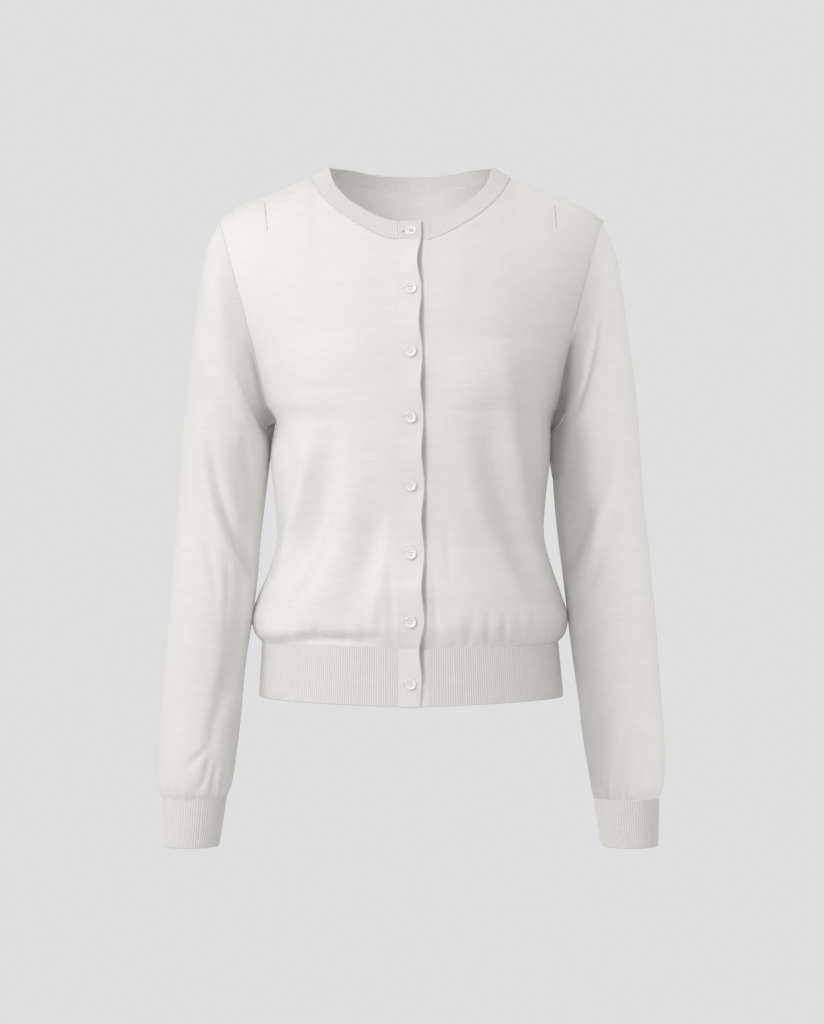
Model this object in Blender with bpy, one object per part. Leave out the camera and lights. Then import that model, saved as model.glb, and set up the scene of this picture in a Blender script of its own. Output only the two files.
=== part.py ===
"""A crew-neck button cardigan in fine knit, in its worn, filled-out form with no wearer.

Metres, +Z up. The front faces -Y and the wearer's right is at -X. The origin is midway between the
two high points where the shoulder seams meet the neckband, which is where a wearer carries it.
Each cut piece is a thin wall of its own, and neighbours stay SEAM_GAP apart along every seam.
"""

import math

import bpy
import numpy as np

# Driving sizes
WALL = 0.0015             # knitted cloth
SEAM_GAP = 0.00034
RIB_RISE = 0.0005         # a rib's crest over its valley
HEM_PITCH = 0.0022        # one rib and its valley
NECK_PITCH = 0.00205
CUFF_PITCH = 0.0025
NECK_HALF = 0.0990        # neckline at the shoulder seam, from the middle
BAND_RIGHT_SEAM = -0.0125     # buttonhole band, on top
BAND_LEFT_SEAM = 0.0165       # button band, underneath
BAND_LEFT_FREE = -0.0065
LAP = WALL + 0.00050      # the left front runs this far behind the right one
LAP_BLEND = 0.0550        # and comes back level at this distance from the middle
CROSS_EXPONENT = 0.92     # 1 is a round section, less is squarer
CENTRE_ROUND = 0.08       # how softly a row crosses the middle
SHOULDER_SWELL = 0.078    # how much the shoulder seam bows up towards its outer end
SWELL_POWER = 6           # and how close to that end
CENTRE_LINE = 1e-9        # a column's place on the centre line, kept off zero for the powers
NECK_CENTRE_Y = -0.012    # the neckband leans towards this line
NECK_CENTRE_X = 0.8       # and less towards the sides than a circle does
BUTTON_RADIUS = 0.0057
BUTTON_GAP = 0.00035
BUTTON_SIDES = 16

# Grid sizes, in cells
LOWER_ROWS = 12
UPPER_ROWS = 12
SHOULDER_COLUMNS = 6
FRONT_NECK_COLUMNS = 8
BACK_NECK_COLUMNS = 10
SLEEVE_ROWS = 20
BACK_NECK_CROWDING = 0.80     # under 1 draws the neckline's columns towards the shoulder
FRONT_NECK_CROWDING = 0.85


def table(columns, rows):
    """Return one array for each named column of a short table."""
    return {name: np.array(values) for name, values in zip(columns.split(), zip(*rows))}


# Rows of the trunk, from the rib seam up to the shoulder seam. The underarm is row 8. The edge is
# the side seam up to there and the armhole above it, and the middle is a point on the centre line,
# which lies beyond the neckline in the last rows.
TRUNK = table(
    "edge_z right left front_edge back_edge start front front_z back back_z",
    (
        (-0.4635, 0.1475, 0.1470, 0.0000, 0.0000, 0, -0.1075, -0.4655, 0.0990, -0.4650),
        (-0.4530, 0.1560, 0.1545, 0.0000, 0.0000, 0, -0.1118, -0.4570, 0.1080, -0.4560),
        (-0.4390, 0.1588, 0.1572, 0.0000, 0.0000, 0, -0.1162, -0.4420, 0.1110, -0.4410),
        (-0.4150, 0.1510, 0.1500, 0.0000, 0.0000, 0, -0.1160, -0.4160, 0.1080, -0.4160),
        (-0.3880, 0.1395, 0.1405, 0.0000, 0.0000, 0, -0.1120, -0.3880, 0.1030, -0.3880),
        (-0.3550, 0.1327, 0.1327, 0.0000, 0.0000, 0, -0.1085, -0.3550, 0.0990, -0.3550),
        (-0.3150, 0.1360, 0.1355, 0.0000, 0.0000, 0, -0.1110, -0.3150, 0.0990, -0.3150),
        (-0.2780, 0.1395, 0.1395, 0.0000, 0.0000, 0, -0.1145, -0.2800, 0.1010, -0.2790),
        (-0.2460, 0.1345, 0.1400, 0.0000, 0.0000, 0, -0.1165, -0.2480, 0.1030, -0.2470),
        (-0.2260, 0.1450, 0.1450, -0.0210, 0.0235, 14, -0.1172, -0.2210, 0.1042, -0.2240),
        (-0.2035, 0.1490, 0.1485, -0.0335, 0.0375, 24, -0.1165, -0.1920, 0.1050, -0.1990),
        (-0.1770, 0.1540, 0.1540, -0.0420, 0.0475, 32, -0.1140, -0.1620, 0.1055, -0.1710),
        (-0.1485, 0.1610, 0.1610, -0.0475, 0.0535, 38, -0.1098, -0.1310, 0.1042, -0.1410),
        (-0.1195, 0.1685, 0.1685, -0.0485, 0.0550, 42, -0.1030, -0.0990, 0.1008, -0.1090),
        (-0.0915, 0.1765, 0.1765, -0.0450, 0.0515, 45, -0.0920, -0.0685, 0.0940, -0.0760),
        (-0.0670, 0.1835, 0.1835, -0.0360, 0.0415, 47, -0.0740, -0.0270, 0.0810, -0.0360),
        (-0.0490, 0.1890, 0.1890, -0.0200, 0.0230, 49, -0.0430, 0.0130, 0.0520, 0.0080),
        (-0.0420, 0.1920, 0.1925, 0.0000, 0.0000, 50, 0.0000, 0.0391, 0.0000, 0.0391),
    ),
)
UNDERARM = 8
NECK_MIDDLE = 14
SHOULDER = 17

# The open lower edge of the hem rib
HEM_EDGE = {"edge_z": -0.5170, "right": 0.1508, "left": 0.1522, "front": -0.1060,
            "front_z": -0.5220, "back": 0.0985, "back_z": -0.5200}

# Height of the neckline seam at distances from the middle, seen from the front
FRONT_NECK = table("x z", ((0.0, -0.0695), (0.0200, -0.0680), (0.0385, -0.0605), (0.0493, -0.0540),
                           (0.0682, -0.0415), (0.0794, -0.0311), (0.0893, -0.0195), (0.0990, 0.0)))
BACK_NECK = table("x z", ((0.0, -0.0076), (0.0300, -0.0066), (0.0500, -0.0045),
                          (0.0750, -0.0010), (0.0990, 0.0)))

# How far the neckband leans in and rises over its seam, from the front (0) to the back (1)
NECKBAND = table("around inward rise", ((0.0, 0.0080, 0.0180), (0.25, 0.0130, 0.0125),
                                        (0.50, 0.0170, 0.0100), (0.75, 0.0110, 0.0130),
                                        (1.0, 0.0070, 0.0150)))

# Rings of a sleeve, from the armhole to the cuff, as the ends of a chord seen from the front
SLEEVE_COLUMNS = "outer_x outer_z inner_x inner_z centre_y depth"
SLEEVE_RIGHT = table(SLEEVE_COLUMNS, (
    (0.1920, -0.0420, 0.1345, -0.2460, 0.0000, 0.0490),
    (0.2034, -0.0641, 0.1440, -0.2490, -0.0010, 0.0560),
    (0.2104, -0.0951, 0.1465, -0.2530, -0.0015, 0.0595),
    (0.2149, -0.1301, 0.1472, -0.2591, -0.0020, 0.0600),
    (0.2192, -0.1702, 0.1462, -0.2671, -0.0035, 0.0590),
    (0.2236, -0.2102, 0.1447, -0.2791, -0.0060, 0.0570),
    (0.2278, -0.2503, 0.1441, -0.2971, -0.0095, 0.0550),
    (0.2304, -0.2902, 0.1455, -0.3231, -0.0140, 0.0530),
    (0.2334, -0.3350, 0.1490, -0.3578, -0.0200, 0.0505),
    (0.2373, -0.3845, 0.1526, -0.3994, -0.0275, 0.0480),
    (0.2413, -0.4339, 0.1577, -0.4438, -0.0330, 0.0460),
    (0.2444, -0.4802, 0.1630, -0.4861, -0.0370, 0.0440),
    (0.2476, -0.5273, 0.1667, -0.5293, -0.0410, 0.0420),
    (0.2502, -0.5684, 0.1711, -0.5684, -0.0450, 0.0400),
    (0.2500, -0.5938, 0.1742, -0.5938, -0.0475, 0.0385),
    (0.2474, -0.6075, 0.1790, -0.6065, -0.0490, 0.0350),
    (0.2434, -0.6153, 0.1849, -0.6148, -0.0495, 0.0305),
))
SLEEVE_LEFT = table(SLEEVE_COLUMNS, (
    (0.1925, -0.0420, 0.1400, -0.2460, 0.0000, 0.0490),
    (0.2034, -0.0641, 0.1455, -0.2490, -0.0010, 0.0560),
    (0.2104, -0.0951, 0.1469, -0.2530, -0.0015, 0.0595),
    (0.2149, -0.1301, 0.1469, -0.2591, -0.0020, 0.0600),
    (0.2197, -0.1702, 0.1458, -0.2671, -0.0035, 0.0590),
    (0.2245, -0.2102, 0.1447, -0.2791, -0.0060, 0.0570),
    (0.2278, -0.2503, 0.1440, -0.2971, -0.0095, 0.0550),
    (0.2299, -0.2902, 0.1448, -0.3231, -0.0140, 0.0530),
    (0.2334, -0.3350, 0.1480, -0.3578, -0.0200, 0.0505),
    (0.2378, -0.3845, 0.1526, -0.3994, -0.0275, 0.0480),
    (0.2418, -0.4339, 0.1573, -0.4438, -0.0330, 0.0460),
    (0.2449, -0.4802, 0.1620, -0.4861, -0.0370, 0.0440),
    (0.2481, -0.5273, 0.1677, -0.5293, -0.0410, 0.0420),
    (0.2502, -0.5684, 0.1724, -0.5684, -0.0450, 0.0400),
    (0.2500, -0.5938, 0.1762, -0.5938, -0.0475, 0.0385),
    (0.2479, -0.6075, 0.1805, -0.6065, -0.0490, 0.0350),
    (0.2439, -0.6153, 0.1839, -0.6148, -0.0495, 0.0305),
))
CUFF_EDGE = {"outer_x": 0.2430, "outer_z": -0.6610, "inner_x": 0.1880, "inner_z": -0.6610,
             "centre_y": -0.0535, "depth": 0.0283}
CAP_RINGS = 5             # rings over which the armhole's own shape turns into an oval

# Large folds: a path of three points seen from the front, a height (a trough is negative), a width
FOLD_COLUMNS = "x0 z0 x1 z1 x2 z2 rise width"
FOLDS = {
    "front_right": table(FOLD_COLUMNS, (
        (-0.105, -0.250, -0.117, -0.332, -0.144, -0.420, 0.0045, 0.011),
        (-0.090, -0.255, -0.100, -0.322, -0.134, -0.425, -0.0050, 0.010),
        (-0.073, -0.250, -0.078, -0.322, -0.118, -0.440, 0.0045, 0.011),
        (-0.044, -0.330, -0.053, -0.380, -0.076, -0.440, -0.0040, 0.010),
        (-0.017, -0.330, -0.025, -0.380, -0.040, -0.440, 0.0030, 0.010),
        (-0.145, -0.110, -0.147, -0.090, -0.148, -0.050, -0.0025, 0.008),
        (-0.135, -0.215, -0.122, -0.190, -0.100, -0.170, -0.0025, 0.012),
    )),
    "front_left": table(FOLD_COLUMNS, (
        (0.106, -0.270, 0.121, -0.332, 0.133, -0.390, 0.0045, 0.011),
        (0.067, -0.240, 0.074, -0.322, 0.118, -0.420, -0.0050, 0.011),
        (0.047, -0.300, 0.060, -0.380, 0.086, -0.440, 0.0035, 0.012),
        (0.090, -0.200, 0.101, -0.2446, 0.120, -0.322, -0.0035, 0.010),
        (0.020, -0.370, 0.024, -0.420, 0.028, -0.455, -0.0025, 0.008),
        (0.144, -0.110, 0.145, -0.090, 0.147, -0.050, -0.0025, 0.008),
        (0.138, -0.215, 0.124, -0.192, 0.102, -0.176, -0.0025, 0.012),
    )),
    "back": table(FOLD_COLUMNS, (
        (0.000, -0.120, 0.002, -0.200, 0.000, -0.280, -0.0030, 0.022),
        (-0.112, -0.210, -0.080, -0.250, -0.050, -0.330, -0.0035, 0.013),
        (0.110, -0.215, 0.082, -0.258, 0.046, -0.320, -0.0035, 0.013),
        (-0.125, -0.290, -0.092, -0.330, -0.070, -0.400, 0.0035, 0.013),
        (0.122, -0.300, 0.096, -0.350, 0.078, -0.420, 0.0035, 0.013),
        (-0.040, -0.360, -0.046, -0.400, -0.054, -0.450, -0.0040, 0.012),
        (0.030, -0.350, 0.034, -0.400, 0.048, -0.450, -0.0040, 0.012),
        (-0.006, -0.370, -0.008, -0.410, -0.004, -0.450, 0.0030, 0.013),
        (-0.098, -0.370, -0.106, -0.410, -0.116, -0.450, -0.0035, 0.012),
        (0.100, -0.380, 0.108, -0.410, 0.114, -0.450, -0.0035, 0.012),
    )),
    "sleeve_right_front": table(FOLD_COLUMNS, (
        (-0.1665, -0.145, -0.1560, -0.200, -0.1490, -0.246, -0.0080, 0.008),
        (-0.1850, -0.150, -0.1760, -0.200, -0.1660, -0.246, 0.0030, 0.010),
        (-0.2005, -0.240, -0.1930, -0.332, -0.1620, -0.402, -0.0050, 0.011),
        (-0.1720, -0.245, -0.1640, -0.290, -0.1560, -0.330, -0.0040, 0.009),
        (-0.2150, -0.350, -0.2060, -0.376, -0.1880, -0.394, -0.0035, 0.009),
        (-0.1855, -0.385, -0.1860, -0.405, -0.1850, -0.430, 0.0030, 0.010),
        (-0.2080, -0.565, -0.2140, -0.580, -0.2230, -0.592, -0.0025, 0.008),
        (-0.2060, -0.565, -0.2010, -0.580, -0.1980, -0.605, -0.0025, 0.008),
    )),
    "sleeve_right_back": table(FOLD_COLUMNS, (
        (-0.1680, -0.140, -0.1590, -0.195, -0.1510, -0.243, -0.0060, 0.009),
        (-0.2220, -0.250, -0.2000, -0.300, -0.1720, -0.330, -0.0040, 0.011),
        (-0.2200, -0.310, -0.2000, -0.355, -0.1700, -0.370, -0.0040, 0.011),
        (-0.2150, -0.410, -0.1950, -0.435, -0.1750, -0.440, 0.0030, 0.012),
        (-0.2300, -0.570, -0.2150, -0.585, -0.1950, -0.590, -0.0025, 0.009),
    )),
    "sleeve_left_front": table(FOLD_COLUMNS, (
        (0.1670, -0.145, 0.1570, -0.200, 0.1510, -0.246, -0.0080, 0.008),
        (0.1850, -0.150, 0.1760, -0.200, 0.1680, -0.246, 0.0030, 0.010),
        (0.1940, -0.300, 0.1860, -0.352, 0.1620, -0.400, -0.0060, 0.012),
        (0.2095, -0.240, 0.2010, -0.322, 0.1790, -0.390, 0.0035, 0.012),
        (0.1880, -0.150, 0.1840, -0.182, 0.1740, -0.220, -0.0035, 0.010),
        (0.2200, -0.250, 0.2260, -0.310, 0.2300, -0.380, -0.0030, 0.010),
        (0.2000, -0.440, 0.1940, -0.480, 0.1860, -0.510, -0.0025, 0.012),
        (0.2160, -0.570, 0.2210, -0.585, 0.2240, -0.605, -0.0025, 0.008),
    )),
    "sleeve_left_back": table(FOLD_COLUMNS, (
        (0.1680, -0.140, 0.1590, -0.195, 0.1520, -0.243, -0.0060, 0.009),
        (0.2180, -0.255, 0.2000, -0.305, 0.1720, -0.325, -0.0030, 0.011),
        (0.2190, -0.330, 0.2000, -0.365, 0.1720, -0.380, -0.0032, 0.011),
        (0.2150, -0.420, 0.1960, -0.440, 0.1760, -0.450, 0.0030, 0.012),
        (0.2280, -0.575, 0.2140, -0.590, 0.1960, -0.595, -0.0025, 0.009),
    )),
}
FOLD_SAMPLES = 24
HOLLOW_LIMIT = 0.35       # where two pieces meet in a valley this deep, each keeps its own lean
FOLD_MARGIN = 0.014       # a fold dies out this far from a seam

# Buttons: height, and where the free edge of the top band lies beside each and below it
BUTTONS = table("z edge_beside edge_below", (
    (-0.0614, 0.0102, 0.0060), (-0.1181, 0.0102, 0.0077), (-0.1792, 0.0111, 0.0092),
    (-0.2427, 0.0120, 0.0101), (-0.3080, 0.0130, 0.0101), (-0.3745, 0.0130, 0.0101),
    (-0.4397, 0.0130, 0.0080), (-0.4998, 0.0101, 0.0092)))
BUTTON_PROFILE = table("radius height", (
    (0.0, 0.0), (0.86, 0.0), (1.0, 0.0008), (0.97, 0.0017), (0.82, 0.0021), (0.58, 0.0014),
    (0.0, 0.0013)))

IVORY = (0.80, 0.78, 0.735, 1.0)
PEARL = (0.90, 0.89, 0.865, 1.0)


def smooth(xs, ys, at):
    """Read a smooth curve through the points (xs, ys), which never overshoots between them."""
    step = np.diff(xs)
    slope = np.diff(ys) / step
    same = slope[1:] * slope[:-1] > 0
    total = slope[1:] + slope[:-1]
    mean = np.where(same, 2 * slope[1:] * slope[:-1] / np.where(same, total, 1.0), 0.0)
    tangent = np.concatenate(([slope[0]], mean, [slope[-1]]))
    at = np.clip(at, xs[0], xs[-1])
    k = np.clip(np.searchsorted(xs, at, side="right") - 1, 0, len(step) - 1)
    h = step[k]
    t = (at - xs[k]) / h
    near = ys[k] * (1 + 2 * t) * (1 - t) ** 2 + h * tangent[k] * t * (1 - t) ** 2
    far = ys[k + 1] * t * t * (3 - 2 * t) + h * tangent[k + 1] * t * t * (t - 1)
    return near + far


def column(source, name, station):
    """Read one column of a table at row numbers that may lie between its rows."""
    values = source[name]
    return smooth(np.arange(len(values), dtype=float), values, np.asarray(station, dtype=float))


def ease(t):
    """Return the soft step from 0 to 1."""
    t = np.clip(t, 0.0, 1.0)
    return t * t * (3 - 2 * t)


# ---------------------------------------------------------------- trunk

def section(half, edge_y, edge_z, start, middle_y, middle_z, ratio, swell=0.0):
    """Place the points of a row that are at ratio of its half width, from the middle."""
    start = np.radians(start)
    ratio = np.clip(ratio, 0.0, 1.0)
    angle = np.arccos(ratio ** (1 / CROSS_EXPONENT) * np.cos(start))
    depth = (np.sin(angle) - np.sin(start)) / (1 - np.sin(start))
    y = edge_y + (middle_y - edge_y) * np.maximum(depth, 0.0) ** CROSS_EXPONENT
    climb = 1 - ratio ** 2 / (ratio + CENTRE_ROUND) * (1 + CENTRE_ROUND)
    z = edge_z + (middle_z - edge_z) * climb + swell * ratio ** SWELL_POWER * (1 - ratio)
    return np.stack((half * ratio, y, z), axis=-1)


def trunk_point(face, side, station, ratio):
    """Return a point of the trunk's form. Side is -1 or 1, and face is "front" or "back"."""
    half = column(TRUNK, "right" if side < 0 else "left", station)
    swell = SHOULDER_SWELL * ease((station - NECK_MIDDLE + 1) / (SHOULDER - NECK_MIDDLE + 1))
    point = section(half, column(TRUNK, face + "_edge", station),
                    column(TRUNK, "edge_z", station), column(TRUNK, "start", station),
                    column(TRUNK, face, station), column(TRUNK, face + "_z", station), ratio, swell)
    point[..., 0] *= side
    return point


def half_width(side, station):
    """Return the distance of the trunk's edge from the middle."""
    return column(TRUNK, "right" if side < 0 else "left", station)


def neck_station(face, side, x):
    """Find the row in which the trunk's form meets the neckline at distance x from the middle."""
    neck = FRONT_NECK if face == "front" else BACK_NECK
    goal = smooth(neck["x"], neck["z"], x)
    low, high = np.full_like(x, NECK_MIDDLE - 1.0), np.full_like(x, float(SHOULDER))
    for _ in range(40):
        middle = (low + high) / 2
        below = trunk_point(face, side, middle, x / half_width(side, middle))[..., 2] < goal
        low, high = np.where(below, middle, low), np.where(below, high, middle)
    return (low + high) / 2


def top_edge(face, side, inner_x, neck_columns):
    """Return the row number and the ratio of each column at the shoulder seam and the neckline."""
    shoulder_x = np.linspace(half_width(side, SHOULDER), NECK_HALF, SHOULDER_COLUMNS + 1)
    turn = np.linspace(0.0, 1.0, neck_columns + 1)[1:]
    neck_x = inner_x + (NECK_HALF - inner_x) * (1 - turn) ** BACK_NECK_CROWDING
    if face == "front":
        neck_x = inner_x + (NECK_HALF - inner_x) * np.cos(turn * math.pi / 2) ** FRONT_NECK_CROWDING
    neck_x[-1] = inner_x
    station = np.concatenate((np.full(SHOULDER_COLUMNS + 1, float(SHOULDER)),
                              neck_station(face, side, neck_x)))
    if face == "front":
        station[-1] = NECK_MIDDLE
    x = np.concatenate((shoulder_x, neck_x))
    return station, x / half_width(side, station)


def half_panel(face, side, inner_x, neck_columns):
    """Return the grid of a front, or of one half of the back, from its outer edge inwards."""
    count = SHOULDER_COLUMNS + neck_columns
    turn = np.linspace(0.0, 1.0, count + 1)

    def even(station):
        last = np.arccos((inner_x / half_width(side, station)) ** (1 / CROSS_EXPONENT))
        return np.cos(turn * last) ** CROSS_EXPONENT

    rows = []
    for station in np.linspace(0, UNDERARM, LOWER_ROWS + 1):
        rows.append(trunk_point(face, side, np.full(count + 1, station), even(station)))
    top_station, top_ratio = top_edge(face, side, inner_x, neck_columns)
    start_ratio = even(UNDERARM)
    for part in np.linspace(0, 1, UPPER_ROWS + 1)[1:]:
        station = UNDERARM + (top_station - UNDERARM) * part
        ratio = start_ratio + (top_ratio - start_ratio) * part
        rows.append(trunk_point(face, side, station, ratio))
    return np.array(rows)


def hem_half(side):
    """Return half the width of the hem rib's open edge."""
    return HEM_EDGE["right" if side < 0 else "left"]


def hem_edge(face, side, ratio):
    """Return points of the hem rib's open edge, at ratio of its half width."""
    point = section(hem_half(side), 0.0, HEM_EDGE["edge_z"], 0.0, HEM_EDGE[face],
                    HEM_EDGE[face + "_z"], ratio)
    point[..., 0] *= side
    return point


def hem_row(face, side, top):
    """Return the open edge below a row of points. Its inner end keeps its distance from the middle."""
    ratio = np.abs(top[:, 0]) / half_width(side, 0.0)
    inner = np.abs(top[-1, 0]) / hem_half(side)
    return hem_edge(face, side, ratio + (inner - ratio[-1]) * (1 - ratio) / (1 - ratio[-1]))


def behind_lap(points):
    """Move what is left of the middle, at the front, behind the buttonhole band."""
    share = ease((LAP_BLEND - points[..., 0]) / (LAP_BLEND - BAND_LEFT_SEAM))
    moved = points.copy()
    moved[..., 1] += LAP * share
    return moved


# ---------------------------------------------------------------- sleeves

def chord_frame(ring):
    """Return the middle, half length, direction and normal of a ring's chord, seen from the front."""
    outer = np.array((ring["outer_x"], ring["outer_z"]))
    inner = np.array((ring["inner_x"], ring["inner_z"]))
    half = np.linalg.norm(outer - inner) / 2
    along = (outer - inner) / (2 * half)
    return (outer + inner) / 2, half, along, np.array((along[1], -along[0]))


def armhole_loop(front, back):
    """Join the armhole edges of the front and the back, from the shoulder round by the front."""
    down = front[LOWER_ROWS:, 0][::-1]
    up = back[LOWER_ROWS:, 0][1:-1]
    return np.concatenate((down, up))


def loop_shape(points, ring, side):
    """Return an armhole's points as shares of its first ring: along the chord, forward and out."""
    middle, half, along, across = chord_frame(ring)
    flat = np.stack((side * points[:, 0], points[:, 2]), axis=-1) - middle
    return np.stack((flat @ along / half, -points[:, 1] / ring["depth"], flat @ across), axis=-1)


def sleeve_ring(ring, oval, shape, side):
    """Return one ring of a sleeve, between the armhole's own shape (oval 0) and an oval (1)."""
    middle, half, along, across = chord_frame(ring)
    turn = np.linspace(0, 2 * math.pi, len(shape), endpoint=False)
    lengthwise = shape[:, 0] * (1 - oval) + np.cos(turn) * oval
    forward = shape[:, 1] * (1 - oval) + np.sin(turn) * oval
    flat = middle + np.outer(lengthwise * half, along) + np.outer(shape[:, 2] * (1 - oval), across)
    y = ring["centre_y"] - ring["depth"] * forward
    return np.stack((side * flat[:, 0], y, flat[:, 1]), axis=-1)


def sleeve_grid(rings, front, back, side):
    """Return a sleeve's grid, one row for each ring, and its cuff's grid of two rows."""
    points = armhole_loop(front, back)
    shape = loop_shape(points, {name: rings[name][0] for name in rings}, side)
    rows = [points]
    for station in np.linspace(0, len(rings["depth"]) - 1, SLEEVE_ROWS + 1)[1:]:
        ring = {name: column(rings, name, station) for name in rings}
        rows.append(sleeve_ring(ring, ease(station / CAP_RINGS), shape, side))
    cuff = np.array((rows[-1], sleeve_ring(CUFF_EDGE, 1.0, shape, side)))
    return np.array(rows), cuff


# ---------------------------------------------------------------- cloth walls

def grid_faces(rows, columns, ring, flip):
    """Return the quads of a grid, facing out."""
    quads = []
    for j in range(rows - 1):
        for i in range(columns if ring else columns - 1):
            k = (i + 1) % columns
            quad = (j * columns + i, j * columns + k, (j + 1) * columns + k, (j + 1) * columns + i)
            quads.append(quad[::-1] if flip else quad)
    return np.array(quads)


def vertex_normals(points, faces):
    """Return the mean normal at each point, weighted by area."""
    corner = points[faces]
    normal = np.cross(corner[:, 2] - corner[:, 0], corner[:, 3] - corner[:, 1])
    total = np.zeros_like(points)
    for k in range(4):
        np.add.at(total, faces[:, k], normal)
    return total / np.linalg.norm(total, axis=1, keepdims=True)


def inward_pull(points, faces):
    """Return the unit direction from each point towards the middle of its faces."""
    middle = points[faces].mean(axis=1)
    total = np.zeros_like(points)
    count = np.zeros(len(points))
    for k in range(4):
        np.add.at(total, faces[:, k], middle)
        np.add.at(count, faces[:, k], 1)
    pull = total / count[:, None] - points
    return pull / np.maximum(np.linalg.norm(pull, axis=1, keepdims=True), 1e-9)


class Piece:
    """One cut piece: a grid of outer points, its faces and its normals."""

    def __init__(self, name, grid, ring=False, flip=False):
        self.name = name
        self.rows, self.columns = grid.shape[:2]
        self.ring = ring
        self.flip = flip
        self.points = grid.reshape(-1, 3).copy()
        self.faces = grid_faces(self.rows, self.columns, ring, flip)
        self.refresh()

    def refresh(self):
        """Work the normals out again after the points have moved."""
        self.normals = vertex_normals(self.points, self.faces)

    def edge_distance(self):
        """Return each point's distance from the nearest edge of the grid, along the grid."""
        grid = self.points.reshape(self.rows, self.columns, 3)
        down = np.linalg.norm(np.diff(grid, axis=0), axis=2)
        down = np.concatenate((np.zeros((1, self.columns)), np.cumsum(down, axis=0)))
        distance = np.minimum(down, down[-1] - down)
        if not self.ring:
            over = np.linalg.norm(np.diff(grid, axis=1), axis=2)
            over = np.concatenate((np.zeros((self.rows, 1)), np.cumsum(over, axis=1)), axis=1)
            distance = np.minimum(distance, np.minimum(over, over[:, -1:] - over))
        return distance.reshape(-1)

    def fold(self, folds, facing):
        """Raise the ridges and sink the troughs of a fold table, on one face of the piece."""
        share = ease(self.edge_distance() / FOLD_MARGIN)
        share = share * ease(self.normals[:, 1] * facing * 2.0)
        height = np.zeros(len(self.points))
        t = np.linspace(0, 1, FOLD_SAMPLES)
        for row in zip(*folds.values()):
            x0, z0, x1, z1, x2, z2, rise, width = row
            path_x = x0 * (1 - t) ** 2 + 2 * x1 * t * (1 - t) + x2 * t * t
            path_z = z0 * (1 - t) ** 2 + 2 * z1 * t * (1 - t) + z2 * t * t
            gap = np.hypot(self.points[:, 0, None] - path_x, self.points[:, 2, None] - path_z)
            nearest = gap.argmin(axis=1)
            fade = np.sin(math.pi * (0.12 + 0.76 * t[nearest]))
            height += rise * fade * np.exp(-(gap.min(axis=1) / width) ** 2)
        self.points += self.normals * (height * share)[:, None]


def sew(pieces):
    """Part the points that pieces share along their seams, and let both sides lean alike."""
    meeting = {}
    for piece in pieces:
        piece.refresh()
        piece.pull = inward_pull(piece.points, piece.faces)
        for index, point in enumerate(piece.points):
            meeting.setdefault(tuple(np.round(point, 6)), []).append((piece, index))
    for members in meeting.values():
        if len(members) < 2:
            continue
        normals = [piece.normals[index].copy() for piece, index in members]
        pulls = [piece.pull[index].copy() for piece, index in members]
        for k, (piece, index) in enumerate(members):
            others = [j for j in range(len(members)) if j != k]
            lean = normals[k].copy()
            for j in others:
                hollow = float(normals[j] @ pulls[k])
                lean += normals[j] * (1 - min(max(hollow / HOLLOW_LIMIT, 0.0), 1.0))
            apart = pulls[k] - sum(pulls[j] for j in others) / len(others)
            piece.normals[index] = lean / np.linalg.norm(lean)
            piece.points[index] += apart / np.linalg.norm(apart) * SEAM_GAP / 2


def border(faces):
    """Return the directed edges that only one face has."""
    edges = set()
    for face in faces:
        for a, b in zip(face, (*face[1:], face[0])):
            edges.add((a, b))
    return [(a, b) for a, b in edges if (b, a) not in edges]


def make_material(name, colour, roughness):
    """Return a plain material."""
    material = bpy.data.materials.get(name) or bpy.data.materials.new(name)
    material.use_nodes = True
    shader = material.node_tree.nodes["Principled BSDF"]
    shader.inputs["Base Color"].default_value = colour
    shader.inputs["Roughness"].default_value = roughness
    shader.inputs["Metallic"].default_value = 0.0
    return material


def add_object(name, points, faces, colour, roughness, crease=35.0):
    """Make an object with its own material from points and faces."""
    mesh = bpy.data.meshes.new(name)
    mesh.from_pydata([tuple(map(float, p)) for p in points], [], [tuple(map(int, f)) for f in faces])
    mesh.validate()
    mesh.shade_smooth()
    mesh.set_sharp_from_angle(angle=math.radians(crease))
    mesh.materials.append(make_material("mat_" + name, colour, roughness))
    item = bpy.data.objects.new(name, mesh)
    bpy.context.scene.collection.objects.link(item)
    return item


def plain_wall(piece):
    """Close the wall between a piece's outer points and the same points moved in."""
    count = len(piece.points)
    inner = piece.points - piece.normals * WALL
    faces = []
    for a, b, c, d in piece.faces:
        one = np.linalg.norm(piece.points[a] - piece.points[c])
        other = np.linalg.norm(piece.points[b] - piece.points[d])
        faces.extend(((a, b, c), (a, c, d)) if one < other else ((a, b, d), (b, c, d)))
    inside = [tuple(count + v for v in face[::-1]) for face in faces]
    sides = [(b, a, count + a, count + b) for a, b in border(faces)]
    add_object(piece.name, np.concatenate((piece.points, inner)), faces + inside + sides, IVORY, 0.9)


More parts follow.
